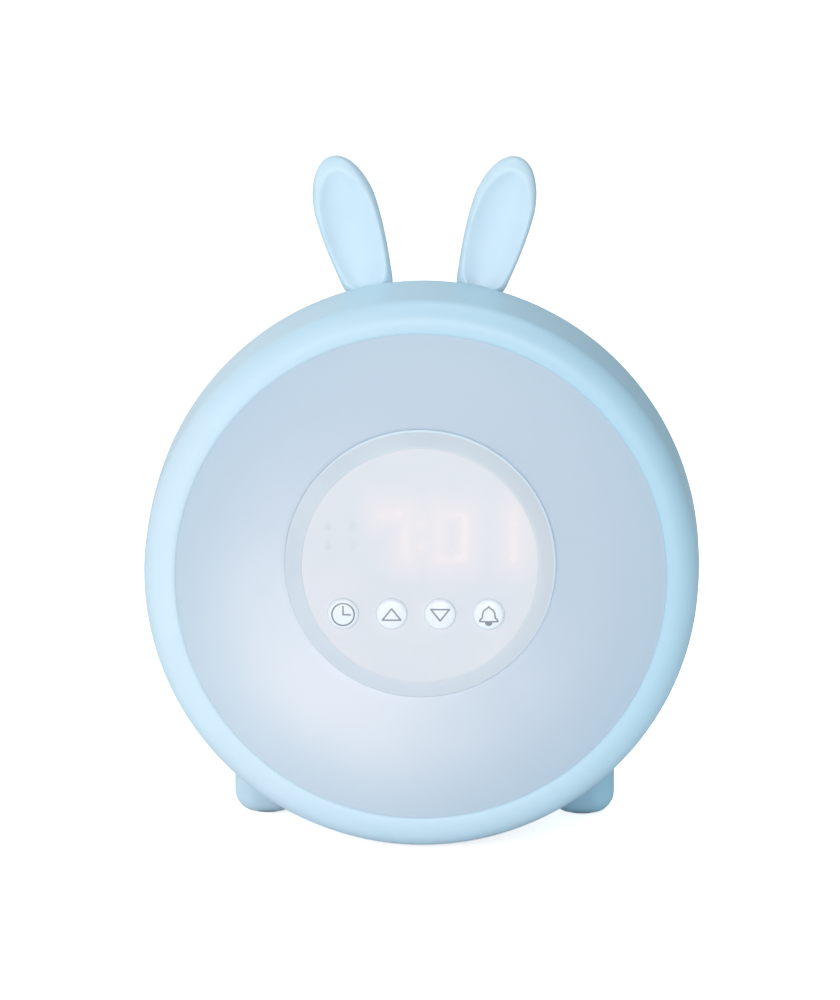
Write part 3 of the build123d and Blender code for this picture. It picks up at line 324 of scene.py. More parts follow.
signs = {
    # lengths in millimetres, places from the middle of a cap
    "stroke": 0.20,              # half the width of a printed line
    "printDepth": (-8.45, -8.2),     # the print is only on a cap's front
    "ink": tone(128, 131, 140),
    "cap": tone(240, 243, 250),
    "capCool": tone(235, 240, 248),
    "rowHeight": -13.0,          # the row of caps, below the display's centre
    # the print is a little thinner in small patches
    "wearSize": 0.25, "wearEdge": (0.25, 0.45), "wornInk": 0.84, "freshInk": 0.12,
    "clockRadius": 2.95, "minuteHand": (0.0, 2.2), "hourHand": (1.9, -0.05),
    "triangle": [(-2.45, -1.45), (2.45, -1.45), (0.0, 1.6)],
    # one half of the bell's outline, from its top to the middle of its rim
    "bell": [(0.0, 2.3), (0.35, 1.85), (1.2, 1.3), (1.6, 0.5), (1.7, -0.7), (2.35, -1.4),
             (2.4, -1.75), (0.0, -1.8)],
    "clapperDrop": 2.15, "clapperRadius": 0.75, "clapperFlatness": 1.6,
}


def clockSign(across, up):
    radius = (across * across + up * up).root()
    rim = abs(radius - signs["clockRadius"])
    minute = segmentDistance(across, up, (0.0, 0.0), signs["minuteHand"])
    hour = segmentDistance(across, up, (0.0, 0.0), signs["hourHand"])
    return rim.least(minute).least(hour)


def triangleSign(across, up):
    corners = signs["triangle"]
    sides = zip(corners, corners[1:] + corners[:1])
    base, right, left = [segmentDistance(across, up, a, b) for a, b in sides]
    return base.least(right).least(left)


def bellSign(across, up):
    # the half outline mirrored, with a half-round clapper under the rim
    half = signs["bell"]
    side = abs(across)
    outline = None
    for a, b in zip(half, half[1:]):
        line = segmentDistance(side, up, a, b)
        outline = line if outline is None else outline.least(line)
    fall = up + signs["clapperDrop"]
    spread = (across * across + fall * fall * signs["clapperFlatness"]).root()
    clapper = (spread - signs["clapperRadius"]).most(fall)
    return outline.least(clapper)


def buttonPlastic(name, middleX, sign, turned=1.0):
    # turned is -1 for a sign that stands on its head
    constants = {"IOR": 1.49, "Coat Weight": 0.1, "Coat Roughness": 0.3}
    material, start, shader = newMaterial(name, constants)
    place = objectPlace(start)
    across = inMm(start, place, "across") - middleX / mm
    deep = inMm(start, place, "deep")
    up = (inMm(start, place, "up") - drum["lift"] - signs["rowHeight"]) * turned
    distance = sign(across, up)
    front = 1 - deep.ease(*signs["printDepth"])
    ink = (1 - distance.ease(signs["stroke"] * 0.7, signs["stroke"] * 1.4)) * front
    worn = noise(start, place, signs["wearSize"] * mm, 2.0).ease(*signs["wearEdge"])
    worn = worn * signs["freshInk"] + signs["wornInk"]
    cloud = softNoise(start, place, 7 * mm, 2.0)
    cap = cloud.blend(signs["capCool"], signs["cap"])
    feed(shader, "Base Color", (ink * worn).blend(cap, signs["ink"]))
    grain = noise(start, place, 0.3 * mm, 2.0)
    feed(shader, "Roughness", 0.36 + grain * 0.08 - ink * 0.06)
    feed(shader, "Normal", bumped(start, grain + ink * 0.8, 0.008 * mm))
    return material


milky = {
    # shade is painted shade and bright is painted highlight, blended by nearness to the lit patch
    "shade": tone(189, 202, 217),
    "bright": tone(222, 225, 232),
    "edge": tone(182, 203, 218),
    # in millimetres from the drum's axis
    "paintedHighlightPlace": (-24.0, -28.0),   # the middle of the painted highlight, low on the left where the light falls
    "paintedHighlightReach": (-8.0, 82.0),       # how far from it the painted highlight fades
    "paintedHighlightDrift": 22.0,
    # painted shade towards the face's rim
    "rimShadeReach": (44.0, 65.3), "rimShadeShare": 0.5,
    # faint glow all over, stronger in the painted highlight
    "glowDim": tone(60, 70, 80),
    "highlightGlow": tone(235, 242, 250),
}


def milkyFacePlastic():
    # the face glows faintly from the night light behind it; painted highlight and painted glow
    # make it brighter low on its left, where the light falls, and painted shade darkens it towards
    # its rim
    constants = {"IOR": 1.49, "Emission Strength": 0.05}
    material, start, shader = newMaterial("milkyFace", constants)
    place = objectPlace(start)
    across = inMm(start, place, "across")
    up = inMm(start, place, "up")
    radius = (across * across + up * up).root()
    sideways, rise = across - milky["paintedHighlightPlace"][0], up - milky["paintedHighlightPlace"][1]
    drift = noise(start, place, 34 * mm, 2.0) - 0.5
    away = (sideways * sideways + rise * rise).root() + drift * milky["paintedHighlightDrift"]
    # painted highlight, with more glow, near the patch low on the left
    glow = 1 - away.ease(*milky["paintedHighlightReach"])
    # painted shade towards the rim
    edge = radius.ease(*milky["rimShadeReach"])
    colour = glow.blend(milky["shade"], milky["bright"])
    colour = (edge * milky["rimShadeShare"]).blend(colour, milky["edge"])
    feed(shader, "Base Color", colour)
    feed(shader, "Emission Color", glow.blend(milky["glowDim"], milky["highlightGlow"]))
    grain = noise(start, place, 0.3 * mm, 2.0, 0.6)
    feed(shader, "Roughness", 0.46 + grain * 0.1)
    feed(shader, "Normal", bumped(start, grain, 0.01 * mm))
    return material


frosted = {
    "cool": tone(205, 213, 222),
    "warm": tone(210, 217, 225),
    "paintedLight": tone(219, 224, 231),   # painted light: paler low on its right, where its slope turns from the light
    # painted highlight along the outer edge
    "rim": tone(226, 240, 251),
    "highlightRadii": (35.25, 35.75),      # where the painted highlight on the edge starts and is full, in millimetres
    "highlightLean": (0.72, 0.70),         # the painted highlight is brightest towards here, across and up
    # towards here the painted light is strongest, across and up
    "paintedLightLean": (0.8, -0.55),
}


def frostedPlastic():
    # painted highlight: the ring's outer edge is painted brighter high on its right, where it
    # catches the light; painted light makes it paler low on its right
    constants = {"IOR": 1.49, "Coat Weight": 0.1, "Coat Roughness": 0.3}
    material, start, shader = newMaterial("frostedRing", constants)
    place = objectPlace(start)
    across = inMm(start, place, "across")
    up = inMm(start, place, "up") - drum["lift"]
    radius = (across * across + up * up).root()
    leanX, leanZ = frosted["highlightLean"]
    highlightFacing = ((across * leanX + up * leanZ) / radius).ease(-0.35, 0.75)
    cloud = softNoise(start, place, 18 * mm)
    colour = cloud.blend(frosted["cool"], frosted["warm"])
    leanX, leanZ = frosted["paintedLightLean"]
    # painted light: paler low on the right, where the slope is turned from the light
    paintedLight = ((across * leanX + up * leanZ) / radius).ease(-0.9, 1.0)
    colour = paintedLight.blend(colour, frosted["paintedLight"])
    # painted highlight on the outer edge, high on the right
    rim = radius.ease(*frosted["highlightRadii"]) * (highlightFacing * 0.85 + 0.1)
    feed(shader, "Base Color", rim.blend(colour, frosted["rim"]))
    grain = noise(start, place, 0.3 * mm, 3.0, 0.6)
    feed(shader, "Roughness", 0.42 + grain * 0.12)
    feed(shader, "Normal", bumped(start, grain, 0.014 * mm))
    return material


def rubberMaterial(name, colour, deeper):
    material, start, shader = newMaterial(name, {"IOR": 1.45})
    place = objectPlace(start)
    grain = noise(start, place, 0.5 * mm, 4.0, 0.6)
    dust = noise(start, place, 4 * mm, 3.0).ease(0.4, 0.75)
    feed(shader, "Base Color", dust.blend(deeper, colour))
    feed(shader, "Roughness", 0.78 + grain * 0.12)
    feed(shader, "Normal", bumped(start, grain, 0.04 * mm))
    return material


def metalMaterial(name, colour, darker, roughness, brushed=0.0):
    material, start, shader = newMaterial(name, {"Metallic": 1.0})
    place = objectPlace(start)
    stretch = {"Vector": place, "Scale": (1.0, 1.0, 1.0 + brushed)}
    stretched = start.node("ShaderNodeMapping", inputs=stretch)
    fine = noise(start, stretched, 0.4 * mm, 4.0, 0.6)
    stain = noise(start, place, 3 * mm, 3.0).ease(0.35, 0.7)
    feed(shader, "Base Color", stain.blend(darker, colour))
    feed(shader, "Roughness", roughness + fine * 0.15)
    feed(shader, "Normal", bumped(start, fine, 0.006 * mm))
    return material


def boardMaterial(name, lacquer, copper):
    # lacquer over copper traces: long straight runs that show faintly
    constants = {"IOR": 1.5, "Coat Weight": 0.6, "Coat Roughness": 0.2}
    material, start, shader = newMaterial(name, constants)
    place = objectPlace(start)
    across = inMm(start, place, "across")
    up = inMm(start, place, "up")
    rows = start.node("ShaderNodeTexBrick", {"offset": 0.37}, {
        "Vector": start.node("ShaderNodeCombineXYZ", inputs={0: across, 1: up}),
        "Color1": (1, 1, 1, 1), "Color2": (0.2, 0.2, 0.2, 1), "Mortar": (0, 0, 0, 1),
        "Scale": 0.4, "Mortar Size": 0.06, "Brick Width": 6.0, "Row Height": 0.7,
    })
    traces = start.node("ShaderNodeSeparateColor", inputs={0: rows})
    tint = noise(start, place, 9 * mm, 3.0)
    colour = (traces * (tint * 0.6)).blend(lacquer, copper)
    feed(shader, "Base Color", colour)
    feed(shader, "Roughness", 0.35 + tint * 0.1)
    feed(shader, "Normal", bumped(start, traces, 0.03 * mm))
    return material


def paperMaterial():
    # dark pressed fibres
    material, start, shader = newMaterial("pressedPaper", {"IOR": 1.4})
    place = objectPlace(start)
    fibres = noise(start, place, 0.6 * mm, 6.0, 0.7)
    feed(shader, "Base Color", fibres.blend(tone(34, 34, 36), tone(62, 61, 60)))
    feed(shader, "Roughness", 0.85 + fibres * 0.1)
    feed(shader, "Normal", bumped(start, fibres, 0.05 * mm))
    return material


lampLook = {
    "phosphorDepth": (16.9, 17.3),   # behind the seam, in millimetres
    "package": tone(235, 235, 230),
    "phosphor": tone(246, 226, 150),
    "light": tone(255, 246, 220),
}


def lampMaterial():
    # a pale phosphor square in a white package
    material, start, shader = newMaterial("lampPackage", {"IOR": 1.5, "Emission Strength": 0.4})
    place = objectPlace(start)
    deep = inMm(start, place, "deep")
    grain = noise(start, place, 0.5 * mm, 3.0)
    phosphor = 1 - deep.ease(*lampLook["phosphorDepth"])
    feed(shader, "Base Color", phosphor.blend(lampLook["package"], lampLook["phosphor"]))
    feed(shader, "Emission Color", (phosphor * 0.6).blend(tone(0, 0, 0), lampLook["light"]))
    feed(shader, "Roughness", 0.35 + grain * 0.1)
    feed(shader, "Normal", bumped(start, grain, 0.01 * mm))
    return material


print("materials")
# painted shade: darker colours for the side of the housing and of the feet that faces away from
# the light
housingShadedSide = tone(178, 213, 231)
footShadedSide = tone(158, 212, 238)
coverGrain = 0.03 * mm


def plastic(name, lighter, deeper, roughness, **others):
    return mouldedPlastic(name, tone(*lighter), tone(*deeper), roughness, **others)


shellBlue = plastic("shellBlue", (216, 235, 247), (212, 232, 245), 0.42, farColour=housingShadedSide)
coverBlue = plastic("coverBlue", (215, 234, 246), (210, 231, 244), 0.46,
                    grainDepth=coverGrain, farColour=housingShadedSide)
earBlue = plastic("earBlue", (213, 234, 246), (208, 231, 244), 0.42)
footBlue = plastic("footBlue", (218, 238, 248), (214, 235, 247), 0.42, farColour=footShadedSide)
innerWhite = plastic("innerWhite", (243, 243, 240), (236, 236, 232), 0.5)
innerGrey = plastic("innerGrey", (120, 122, 126), (108, 110, 114), 0.5)
chipBlack = plastic("chipBlack", (40, 40, 43), (30, 30, 32), 0.55)
segmentGlow = plastic("segmentGlow", (250, 248, 246), (244, 242, 242), 0.35)
segmentDark = plastic("segmentDark", (206, 213, 220), (198, 206, 214), 0.35)
windowWhite = windowPlastic()
milkyFace = milkyFacePlastic()
frostedRing = frostedPlastic()
padRubber = rubberMaterial("padRubber", tone(176, 196, 208), tone(160, 182, 196))
foamBlack = rubberMaterial("foamBlack", tone(46, 46, 48), tone(34, 34, 36))
zincSteel = metalMaterial("zincSteel", tone(205, 206, 208), tone(178, 180, 184), 0.25)
nickelSheet = metalMaterial(
    "nickelSheet", tone(222, 220, 214), tone(196, 193, 186), 0.18, brushed=8.0)
boardGreen = boardMaterial("boardGreen", tone(22, 84, 50), tone(60, 140, 84))
boardWhite = boardMaterial("boardWhite", tone(238, 239, 238), tone(214, 216, 214))
pressedPaper = paperMaterial()
lampPackage = lampMaterial()

nodeMaterials = {
    "body_shell": shellBlue, "rear_cover": coverBlue, "battery_door": coverBlue,
    "left_ear": earBlue, "right_ear": earBlue, "left_foot": footBlue, "right_foot": footBlue,
    "foot_pads": padRubber, "base_pad": padRubber,
    "fixing_washers": zincSteel, "fixing_screws": zincSteel,
    "diffuser": milkyFace, "display_bezel": frostedRing, "display_lock_ring": innerWhite,
    "display_window": windowWhite, "display_frame": innerWhite, "led_display": innerWhite,
    "lit_segments": segmentGlow, "unlit_segments": segmentDark, "display_board": boardGreen,
    "tact_switches": chipBlack, "display_back": innerWhite, "display_screws": zincSteel,
    "light_tray": innerWhite, "light_board": boardWhite, "light_lamps": lampPackage,
    "light_board_screws": zincSteel, "tray_screws": zincSteel, "main_board": boardGreen,
    "main_board_parts": chipBlack, "board_screws": zincSteel, "speaker_frame": nickelSheet,
    "speaker_cone": pressedPaper, "speaker_magnet": zincSteel, "speaker_gasket": foamBlack,
    "speaker_screws": zincSteel, "power_board": boardGreen, "power_socket": nickelSheet,
    "battery_contacts": nickelSheet, "cover_screws": zincSteel,
}
buttonSigns = {
    "time_button": (clockSign, 1.0), "up_button": (triangleSign, 1.0),
    "down_button": (triangleSign, -1.0), "alarm_button": (bellSign, 1.0),
}
for node, (sign, turned) in buttonSigns.items():
    low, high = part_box(node)
    middleX = (low.x + high.x) / 2
    nodeMaterials[node] = buttonPlastic(node.replace("_button", "Cap"), middleX, sign, turned)
    nodeMaterials[node.replace("_button", "_plunger")] = innerGrey


def dress(obj, material):
    obj.data.materials.clear()
    obj.data.materials.append(material)


for node, material in nodeMaterials.items():
    dress(frame["nodes"][node], material)


def deselectAll():
    if bpy.context.mode != "OBJECT":
        bpy.ops.object.mode_set(mode="OBJECT")
    bpy.ops.object.select_all(action="DESELECT")


def selectOnly(obj):
    deselectAll()
    obj.select_set(True)
    bpy.context.view_layer.objects.active = obj


def applyAll(obj):
    selectOnly(obj)
    bpy.ops.object.transform_apply(location=True, rotation=True, scale=True)
    for modifier in list(obj.modifiers):
        bpy.ops.object.modifier_apply(modifier=modifier.name)


def smoothed(obj, degrees=35):
    selectOnly(obj)
    bpy.ops.object.shade_smooth_by_angle(angle=math.radians(degrees))


def outwards(obj):
    # merges what lies on top of itself and turns the faces outwards
    selectOnly(obj)
    bpy.ops.object.mode_set(mode="EDIT")
    bpy.ops.mesh.select_all(action="SELECT")
    bpy.ops.mesh.remove_doubles(threshold=0.005 * mm)
    bpy.ops.mesh.normals_make_consistent(inside=False)
    bpy.ops.object.mode_set(mode="OBJECT")


def turnedPiece(name, rings, segments, centreZ):
    # a circle is extruded from ring to ring, like work on a lathe; each ring is
    # (radius, depth from the seam) or (radius, depth, rise of its centre), in millimetres
    deselectAll()
    rings = [tuple(ring) + (0.0,) * (3 - len(ring)) for ring in rings]
    radius, depth, rise = rings[0]
    place = (0, drum["seamY"] + depth * mm, centreZ + rise * mm)
    bpy.ops.mesh.primitive_circle_add(
        vertices=segments, radius=radius * mm, location=place, rotation=(math.pi / 2, 0, 0))
    obj = bpy.context.object
    obj.name = name
    bpy.ops.object.transform_apply(location=True, rotation=True, scale=True)
    bpy.ops.object.mode_set(mode="EDIT")
    bpy.ops.mesh.select_all(action="SELECT")
    for (radius, depth, rise), (nextRadius, nextDepth, nextRise) in zip(rings, rings[1:]):
        move = (0, (nextDepth - depth) * mm, (nextRise - rise) * mm)
        bpy.ops.mesh.extrude_region_move(TRANSFORM_OT_translate={"value": move})
        centre = (0, drum["seamY"] + nextDepth * mm, centreZ + nextRise * mm)
        grow = nextRadius / radius
        bpy.ops.transform.resize(value=(grow, 1, grow), center_override=centre)
    # the last ring joins the first
    bpy.ops.mesh.select_all(action="DESELECT")
    bpy.ops.mesh.select_non_manifold()
    bpy.ops.mesh.bridge_edge_loops()
    bpy.ops.object.mode_set(mode="OBJECT")
    outwards(obj)
    return obj


def arcRings(start, end, bulge, steps):
    # rings along an arc between two (radius, depth) points, bulging sideways by bulge
    (r0, d0), (r1, d1) = start, end
    length = math.hypot(r1 - r0, d1 - d0)
    sideR, sideD = (d1 - d0) / length, -(r1 - r0) / length
    rings = []
    for i in range(1, steps + 1):
        t = i / steps
        swell = 4 * bulge * t * (1 - t)
        radius, depth = r0 + (r1 - r0) * t, d0 + (d1 - d0) * t
        rings.append((radius + sideR * swell, depth + sideD * swell))
    return rings


def ellipseRings(centre, radii, fromDegrees, toDegrees, steps):
    rings = []
    for i in range(steps + 1):
        angle = math.radians(fromDegrees + (toDegrees - fromDegrees) * i / steps)
        radius = centre[0] + radii[0] * math.cos(angle)
        rings.append((radius, centre[1] + radii[1] * math.sin(angle)))
    return rings


def curveRings(points, steps):
    # a smooth curve through (radius, depth) points, as rings
    rings = []
    padded = [points[0]] + points + [points[-1]]
    for a, b, c, d in zip(padded, padded[1:], padded[2:], padded[3:]):
        for i in range(steps):
            t = i / steps
            rings.append(tuple(
                0.5 * (2 * q + (r - p) * t + (2 * p - 5 * q + 4 * r - s) * t * t
                       + (3 * q - p - 3 * r + s) * t ** 3)
                for p, q, r, s in zip(a, b, c, d)))
    rings.append(points[-1])
    return rings


def smoothCopy(node, name, degrees=32):
    # the node's own shape with smooth shading over its curves
    source = frame["nodes"][node]
    obj = source.copy()
    obj.data = source.data.copy()
    obj.name = name
    obj.parent = None
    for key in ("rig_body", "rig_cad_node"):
        if key in obj:
            del obj[key]
    bpy.context.scene.collection.objects.link(obj)
    selectOnly(obj)
    bpy.ops.object.mode_set(mode="EDIT")
    bpy.ops.mesh.select_all(action="SELECT")
    bpy.ops.mesh.customdata_custom_splitnormals_clear()
    bpy.ops.mesh.remove_doubles(threshold=0.002 * mm)
    bpy.ops.object.mode_set(mode="OBJECT")
    smoothed(obj, degrees)
    return obj


bodyOf = {}
for body, members in frame["record"]["behaviour"]["bodies"].items():
    for member in members:
        bodyOf[member] = body


def standFor(obj, node, material):
    # the new piece takes over a node: it gets its material, joins the node's body, and the node is
    # hidden
    dress(obj, material)
    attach(obj, bodyOf[node])
    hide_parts(node)


print("drum")
drumShape = {
    # radii and depths from the seam, in millimetres
    "segments": 192,
    "lipCrest": (67.6, -0.9), "lipTurn": 6.0, "lipRadius": 73.95, "lipLead": (73.8, 2.0),
    # the lip rises from the ledge's wall, in steps outwards
    "lipFoot": 0.1,
    "lipInside": [(0.0, -0.36), (0.12, -0.48), (0.26, -0.60), (0.44, -0.71), (0.7, -0.79),
                  (1.1, -0.85), (1.6, -0.885)],
    "lipSteps": 24, "sideSteps": 10,
    "side": [(74.3, 22.0), (73.75, 41.0), (68.6, 59.0), (50.0, 70.0)],
    "wall": 2.4, "innerFrom": 10.0, "innerStride": 4,    # the inner wall needs fewer rings
    "ledge": (61.0, 65.33, 6.0, 8.0),    # its inner and outer radius, its front and back
    "parting": 59.0, "partingStep": 0.12,
}


def drumSideRings():
    # a smooth side from the lip, over the belly, to the parting line
    shape = drumShape
    low, steps = (shape["lipRadius"], shape["lipTurn"]), shape["sideSteps"]
    curve = curveRings([shape["lipLead"], low] + shape["side"], steps)
    return [(radius, depth) for radius, depth in curve[steps:] if depth <= shape["parting"]]


def bodyShell():
    shape = drumShape
    inner, outer, ledgeFront, ledgeBack = shape["ledge"]
    (crest, crestDepth), turn, wall = shape["lipCrest"], shape["lipTurn"], shape["wall"]
    lipRadii = (shape["lipRadius"] - crest, turn - crestDepth)
    rings = [(inner, ledgeBack), (inner, ledgeFront), (outer, ledgeFront)]
    rings.append((outer, shape["lipFoot"]))
    rings += [(outer + step, depth) for step, depth in shape["lipInside"]]
    rings += ellipseRings((crest, turn), lipRadii, 270, 360, shape["lipSteps"])[:-1]
    side = drumSideRings()
    rings += side
    rings.append((side[-1][0] - shape["partingStep"], shape["parting"]))
    rings.append((side[-1][0] - wall, shape["parting"]))
    stride = shape["innerStride"]
    inside = [ring for ring in reversed(side[stride::stride]) if ring[1] > shape["innerFrom"]]
    rings += [(radius - wall, depth) for radius, depth in inside]
    rings.append((shape["lipRadius"] - wall, ledgeBack))
    return turnedPiece("bodyShell", rings, shape["segments"], drum["axisZ"])


shell = bodyShell()
smoothed(shell, 40)
standFor(shell, "body_shell", shellBlue)

print("face")
faceShape = {
    # radii and depths from the seam, in millimetres
    "segments": 192,
    "edge": 65.315, "edgeTop": [(65.315, -0.34), (65.28, -0.36)],
    "dome": [(36.2, -4.35), (50.0, -3.25), (60.0, -1.55), (64.6, -0.42)], "domeSteps": 7,
    "skirt": 2.0, "skirtFront": 2.0, "skirtBack": skirtDepth,
    # the boss that carries the display sits higher than the drum's axis
    "bossFrom": 50.0, "bossEase": 1.3,
    "bossSeat": [(36.03, -4.25), (36.03, -3.6), (34.0, -3.6), (34.0, -1.6), (40.0, -1.6)],
    "back": (50.0, -1.25),
}


def milkyFacePiece():
    shape = faceShape
    bossEdge = shape["dome"][0][0]
    edge, skirtBack = shape["edge"], shape["skirtBack"]
    skirtInner = edge - shape["skirt"]
    rings = [(skirtInner, shape["skirtFront"]), (skirtInner, skirtBack), (edge, skirtBack)]
    rings += shape["edgeTop"]
    for radius, depth in reversed(curveRings(shape["dome"], shape["domeSteps"])):
        closeness = (shape["bossFrom"] - radius) / (shape["bossFrom"] - bossEdge)
        closeness = max(0.0, min(1.0, closeness))
        rings.append((radius, depth, drum["lift"] * closeness ** shape["bossEase"]))
    rings += [(radius, depth, drum["lift"]) for radius, depth in shape["bossSeat"]]
    rings.append(shape["back"])
    return turnedPiece("milkyFace", rings, shape["segments"], drum["axisZ"])


face = milkyFacePiece()
smoothed(face, 40)
standFor(face, "diffuser", milkyFace)

print("display ring")
bezelShape = {
    # radii and depths from the seam, in millimetres
    "segments": 160,
    "outer": 36.0, "inner": 31.42, "seat": -3.6, "edge": -4.75, "top": -7.54,
    # the turn of its outer edge, inwards and forwards from the edge
    "edgeTurn": [(0.06, 0.2), (0.22, 0.36), (0.5, 0.5)],
    "topFlat": 0.1, "slopeBulge": -0.08, "slopeSteps": 8,
    "innerTurn": [(0.02, 0.01), (0.0, 0.04)],
    "tubeOuter": 33.6, "tubeEnd": 7.0,
    "shoulder": (29.9, -5.8, -4.8),      # its inner radius, its front and back
}


def bezelPiece():
    shape = bezelShape
    outer, inner, edge, top = shape["outer"], shape["inner"], shape["edge"], shape["top"]
    lip, shoulderFront, shoulderBack = shape["shoulder"]
    rings = [(shape["tubeOuter"], shape["tubeEnd"]), (shape["tubeOuter"], shape["seat"])]
    rings += [(outer, shape["seat"]), (outer, edge)]
    rings += [(outer - inwards, edge - forwards) for inwards, forwards in shape["edgeTurn"]]
    slopeEnd = (inner + shape["topFlat"], top)
    rings += arcRings(rings[-1], slopeEnd, shape["slopeBulge"], shape["slopeSteps"])
    rings += [(inner + step, top + back) for step, back in shape["innerTurn"]]
    rings += [(inner, shoulderFront), (lip, shoulderFront), (lip, shoulderBack)]
    rings += [(inner, shoulderBack), (inner, shape["tubeEnd"])]
    return turnedPiece("frostedRing", rings, shape["segments"], drum["displayZ"])


bezel = bezelPiece()
smoothed(bezel, 40)
standFor(bezel, "display_bezel", frostedRing)

print("ears")
earShape = {
    # lengths in millimetres, the lean in degrees
    "voxel": 0.35, "softening": 60, "backSoftness": 0.35,
    "crispBelow": 0.4, "softAbove": 2.2,     # above the drum's skin
    "footPlace": 15.2, "footRadius": 73.4, "depthPlace": 49.5, "frontDepth": 3.0, "lean": 16.5,
    # (height above the foot, half width) of the solid's leaf, and the round of its tip
    "leaf": [(-8.0, 5.35), (18.2, 8.5), (28.5, 7.5)], "tip": (28.5, 7.5),
    # the same of the teardrop that it is drawn to
    "teardrop": [(-8.0, 5.5), (0.0, 6.75), (5.0, 7.45), (10.0, 8.05), (15.0, 8.45), (20.0, 8.6),
                 (24.0, 8.4), (28.0, 7.5), (31.0, 6.3), (33.5, 4.7), (35.2, 2.8), (36.2, 1.0)],
    "tipStart": 34.5,            # above it the outline keeps one proportion to the leaf
    "top": 181.38,               # no tip is higher over the floor
    "scoopRim": (0.70, 0.86),    # the scoop's edge, as a share of the half width, before and after
}
teardrop = curveRings(earShape["teardrop"], 8)


def alongLine(points, place):
    # the second value at a place in a list of (place, value), or None outside it
    for (p0, v0), (p1, v1) in zip(points, points[1:]):
        if p0 <= place <= p1:
            return v0 + (v1 - v0) * (place - p0) / (p1 - p0)
    return None


def leafHalfWidth(height):
    # never quite zero, so that it can divide
    centre, radius = earShape["tip"]
    if height > centre:
        return math.sqrt(max(radius ** 2 - (height - centre) ** 2, 0.04))
    return alongLine(earShape["leaf"], max(height, earShape["leaf"][0][0]))


def skinRadius(depth):
    # the drum's radius at a depth from the seam
    side = [(drumShape["lipRadius"], drumShape["lipTurn"])] + drumShape["side"]
    found = alongLine([(place, radius) for radius, place in side], depth)
    return drumShape["lipRadius"] if found is None else found


def share(value, low, high):
    # 0 at low and below, 1 at high and above
    return min(1.0, max(0.0, (value - low) / (high - low)))


def softEar(node, name, side):
    # the ear's own solid with a wider scoop and softened creases; its foot stays crisp on the drum
    shape = earShape
    obj = smoothCopy(node, name)
    remesh = obj.modifiers.new("skin", "REMESH")
    remesh.mode = "VOXEL"
    remesh.voxel_size = shape["voxel"] * mm
    applyAll(obj)
    rise = math.sqrt(shape["footRadius"] ** 2 - shape["footPlace"] ** 2)
    foot = Vector((side * shape["footPlace"] * mm, 0, drum["axisZ"] + rise * mm))
    lean = math.radians(side * shape["lean"])
    alongX, alongZ = math.sin(lean), math.cos(lean)
    before, after = shape["scoopRim"]
    soft = obj.vertex_groups.new(name="soft")
    for vertex in obj.data.vertices:
        offset = (vertex.co - foot) / mm
        height = offset.x * alongX + offset.z * alongZ
        across = offset.x * alongZ - offset.z * alongX
        depth = (vertex.co.y - drum["seamY"]) / mm
        fromAxis = math.hypot(vertex.co.x, vertex.co.z - drum["axisZ"]) / mm
        above = fromAxis - skinRadius(depth)
        free = share(above, shape["crispBelow"], shape["softAbove"])
        front = share(shape["depthPlace"] - depth, 0.0, shape["frontDepth"])
        lower = max(shape["leaf"][0][0], min(height, shape["tipStart"]))
        ratio = alongLine(teardrop, lower) / leafHalfWidth(lower)
        part = min(1.0, abs(across) / leafHalfWidth(height))
        if part < before:
            wider = part * after / before
        else:
            wider = after + (part - before) * (1 - after) / (1 - before)
        grown = across * (1 + (wider / max(part, 0.001) - 1) * front) * ratio
        move = (grown - across) * free
        vertex.co.x += move * alongZ * mm
        vertex.co.z = min(vertex.co.z - move * alongX * mm, shape["top"] * mm)
        if free > 0:
            weight = shape["backSoftness"] + (1 - shape["backSoftness"]) * front
            soft.add([vertex.index], free * weight, "REPLACE")
    soften = obj.modifiers.new("soft", "SMOOTH")
    soften.factor = 0.5
    soften.iterations = shape["softening"]
    soften.vertex_group = "soft"
    applyAll(obj)
    smoothed(obj, 60)
    return obj


standFor(softEar("left_ear", "leftEar", -1), "left_ear", earBlue)
standFor(softEar("right_ear", "rightEar", 1), "right_ear", earBlue)

print("feet")
for node, name in (("left_foot", "leftFoot"), ("right_foot", "rightFoot")):
    standFor(smoothCopy(node, name, 50), node, footBlue)

# these keep their own shapes, smoothly shaded
print("cover and small pieces")
smoothNodes = {
    "rear_cover": "rearCover", "battery_door": "batteryDoor", "base_pad": "basePad",
    "foot_pads": "footPads", "cover_screws": "coverScrews", "power_socket": "powerSocket",
    "speaker_cone": "speakerCone", "speaker_frame": "speakerFrame",
    "speaker_gasket": "speakerGasket", "battery_contacts": "batteryContacts",
}
for node, name in smoothNodes.items():
    standFor(smoothCopy(node, name), node, nodeMaterials[node])

# its own shape, with a shallower edge that meets the ring
print("window")
windowShape = {
    # radii and depths from the seam, in millimetres
    "front": -7.6, "frontPart": -7.25, "edgeStart": 31.08, "edge": 31.4, "fall": 0.05,
}
window = smoothCopy("display_window", "displayWindow")
edgeWidth = windowShape["edge"] - windowShape["edgeStart"]
for vertex in window.data.vertices:
    radius = math.hypot(vertex.co.x, vertex.co.z - drum["displayZ"]) / mm
    deep = (vertex.co.y - drum["seamY"]) / mm
    if radius > windowShape["edgeStart"] and deep < windowShape["frontPart"]:
        part = (radius - windowShape["edgeStart"]) / edgeWidth
        deep = windowShape["front"] + windowShape["fall"] * part ** 2
        vertex.co.y = drum["seamY"] + deep * mm
smoothed(window, 32)
standFor(window, "display_window", windowWhite)

# each cap widens a little at its foot and fills its hole
print("buttons")
capShape = {
    # radii and depths from the seam, in millimetres
    "top": 4.1, "foot": 4.2, "footDepth": -7.62, "crown": 0.965, "crownDepth": -8.2,
    "near": 0.05, "nearDepth": 0.01,     # what still counts as the cap's side
}


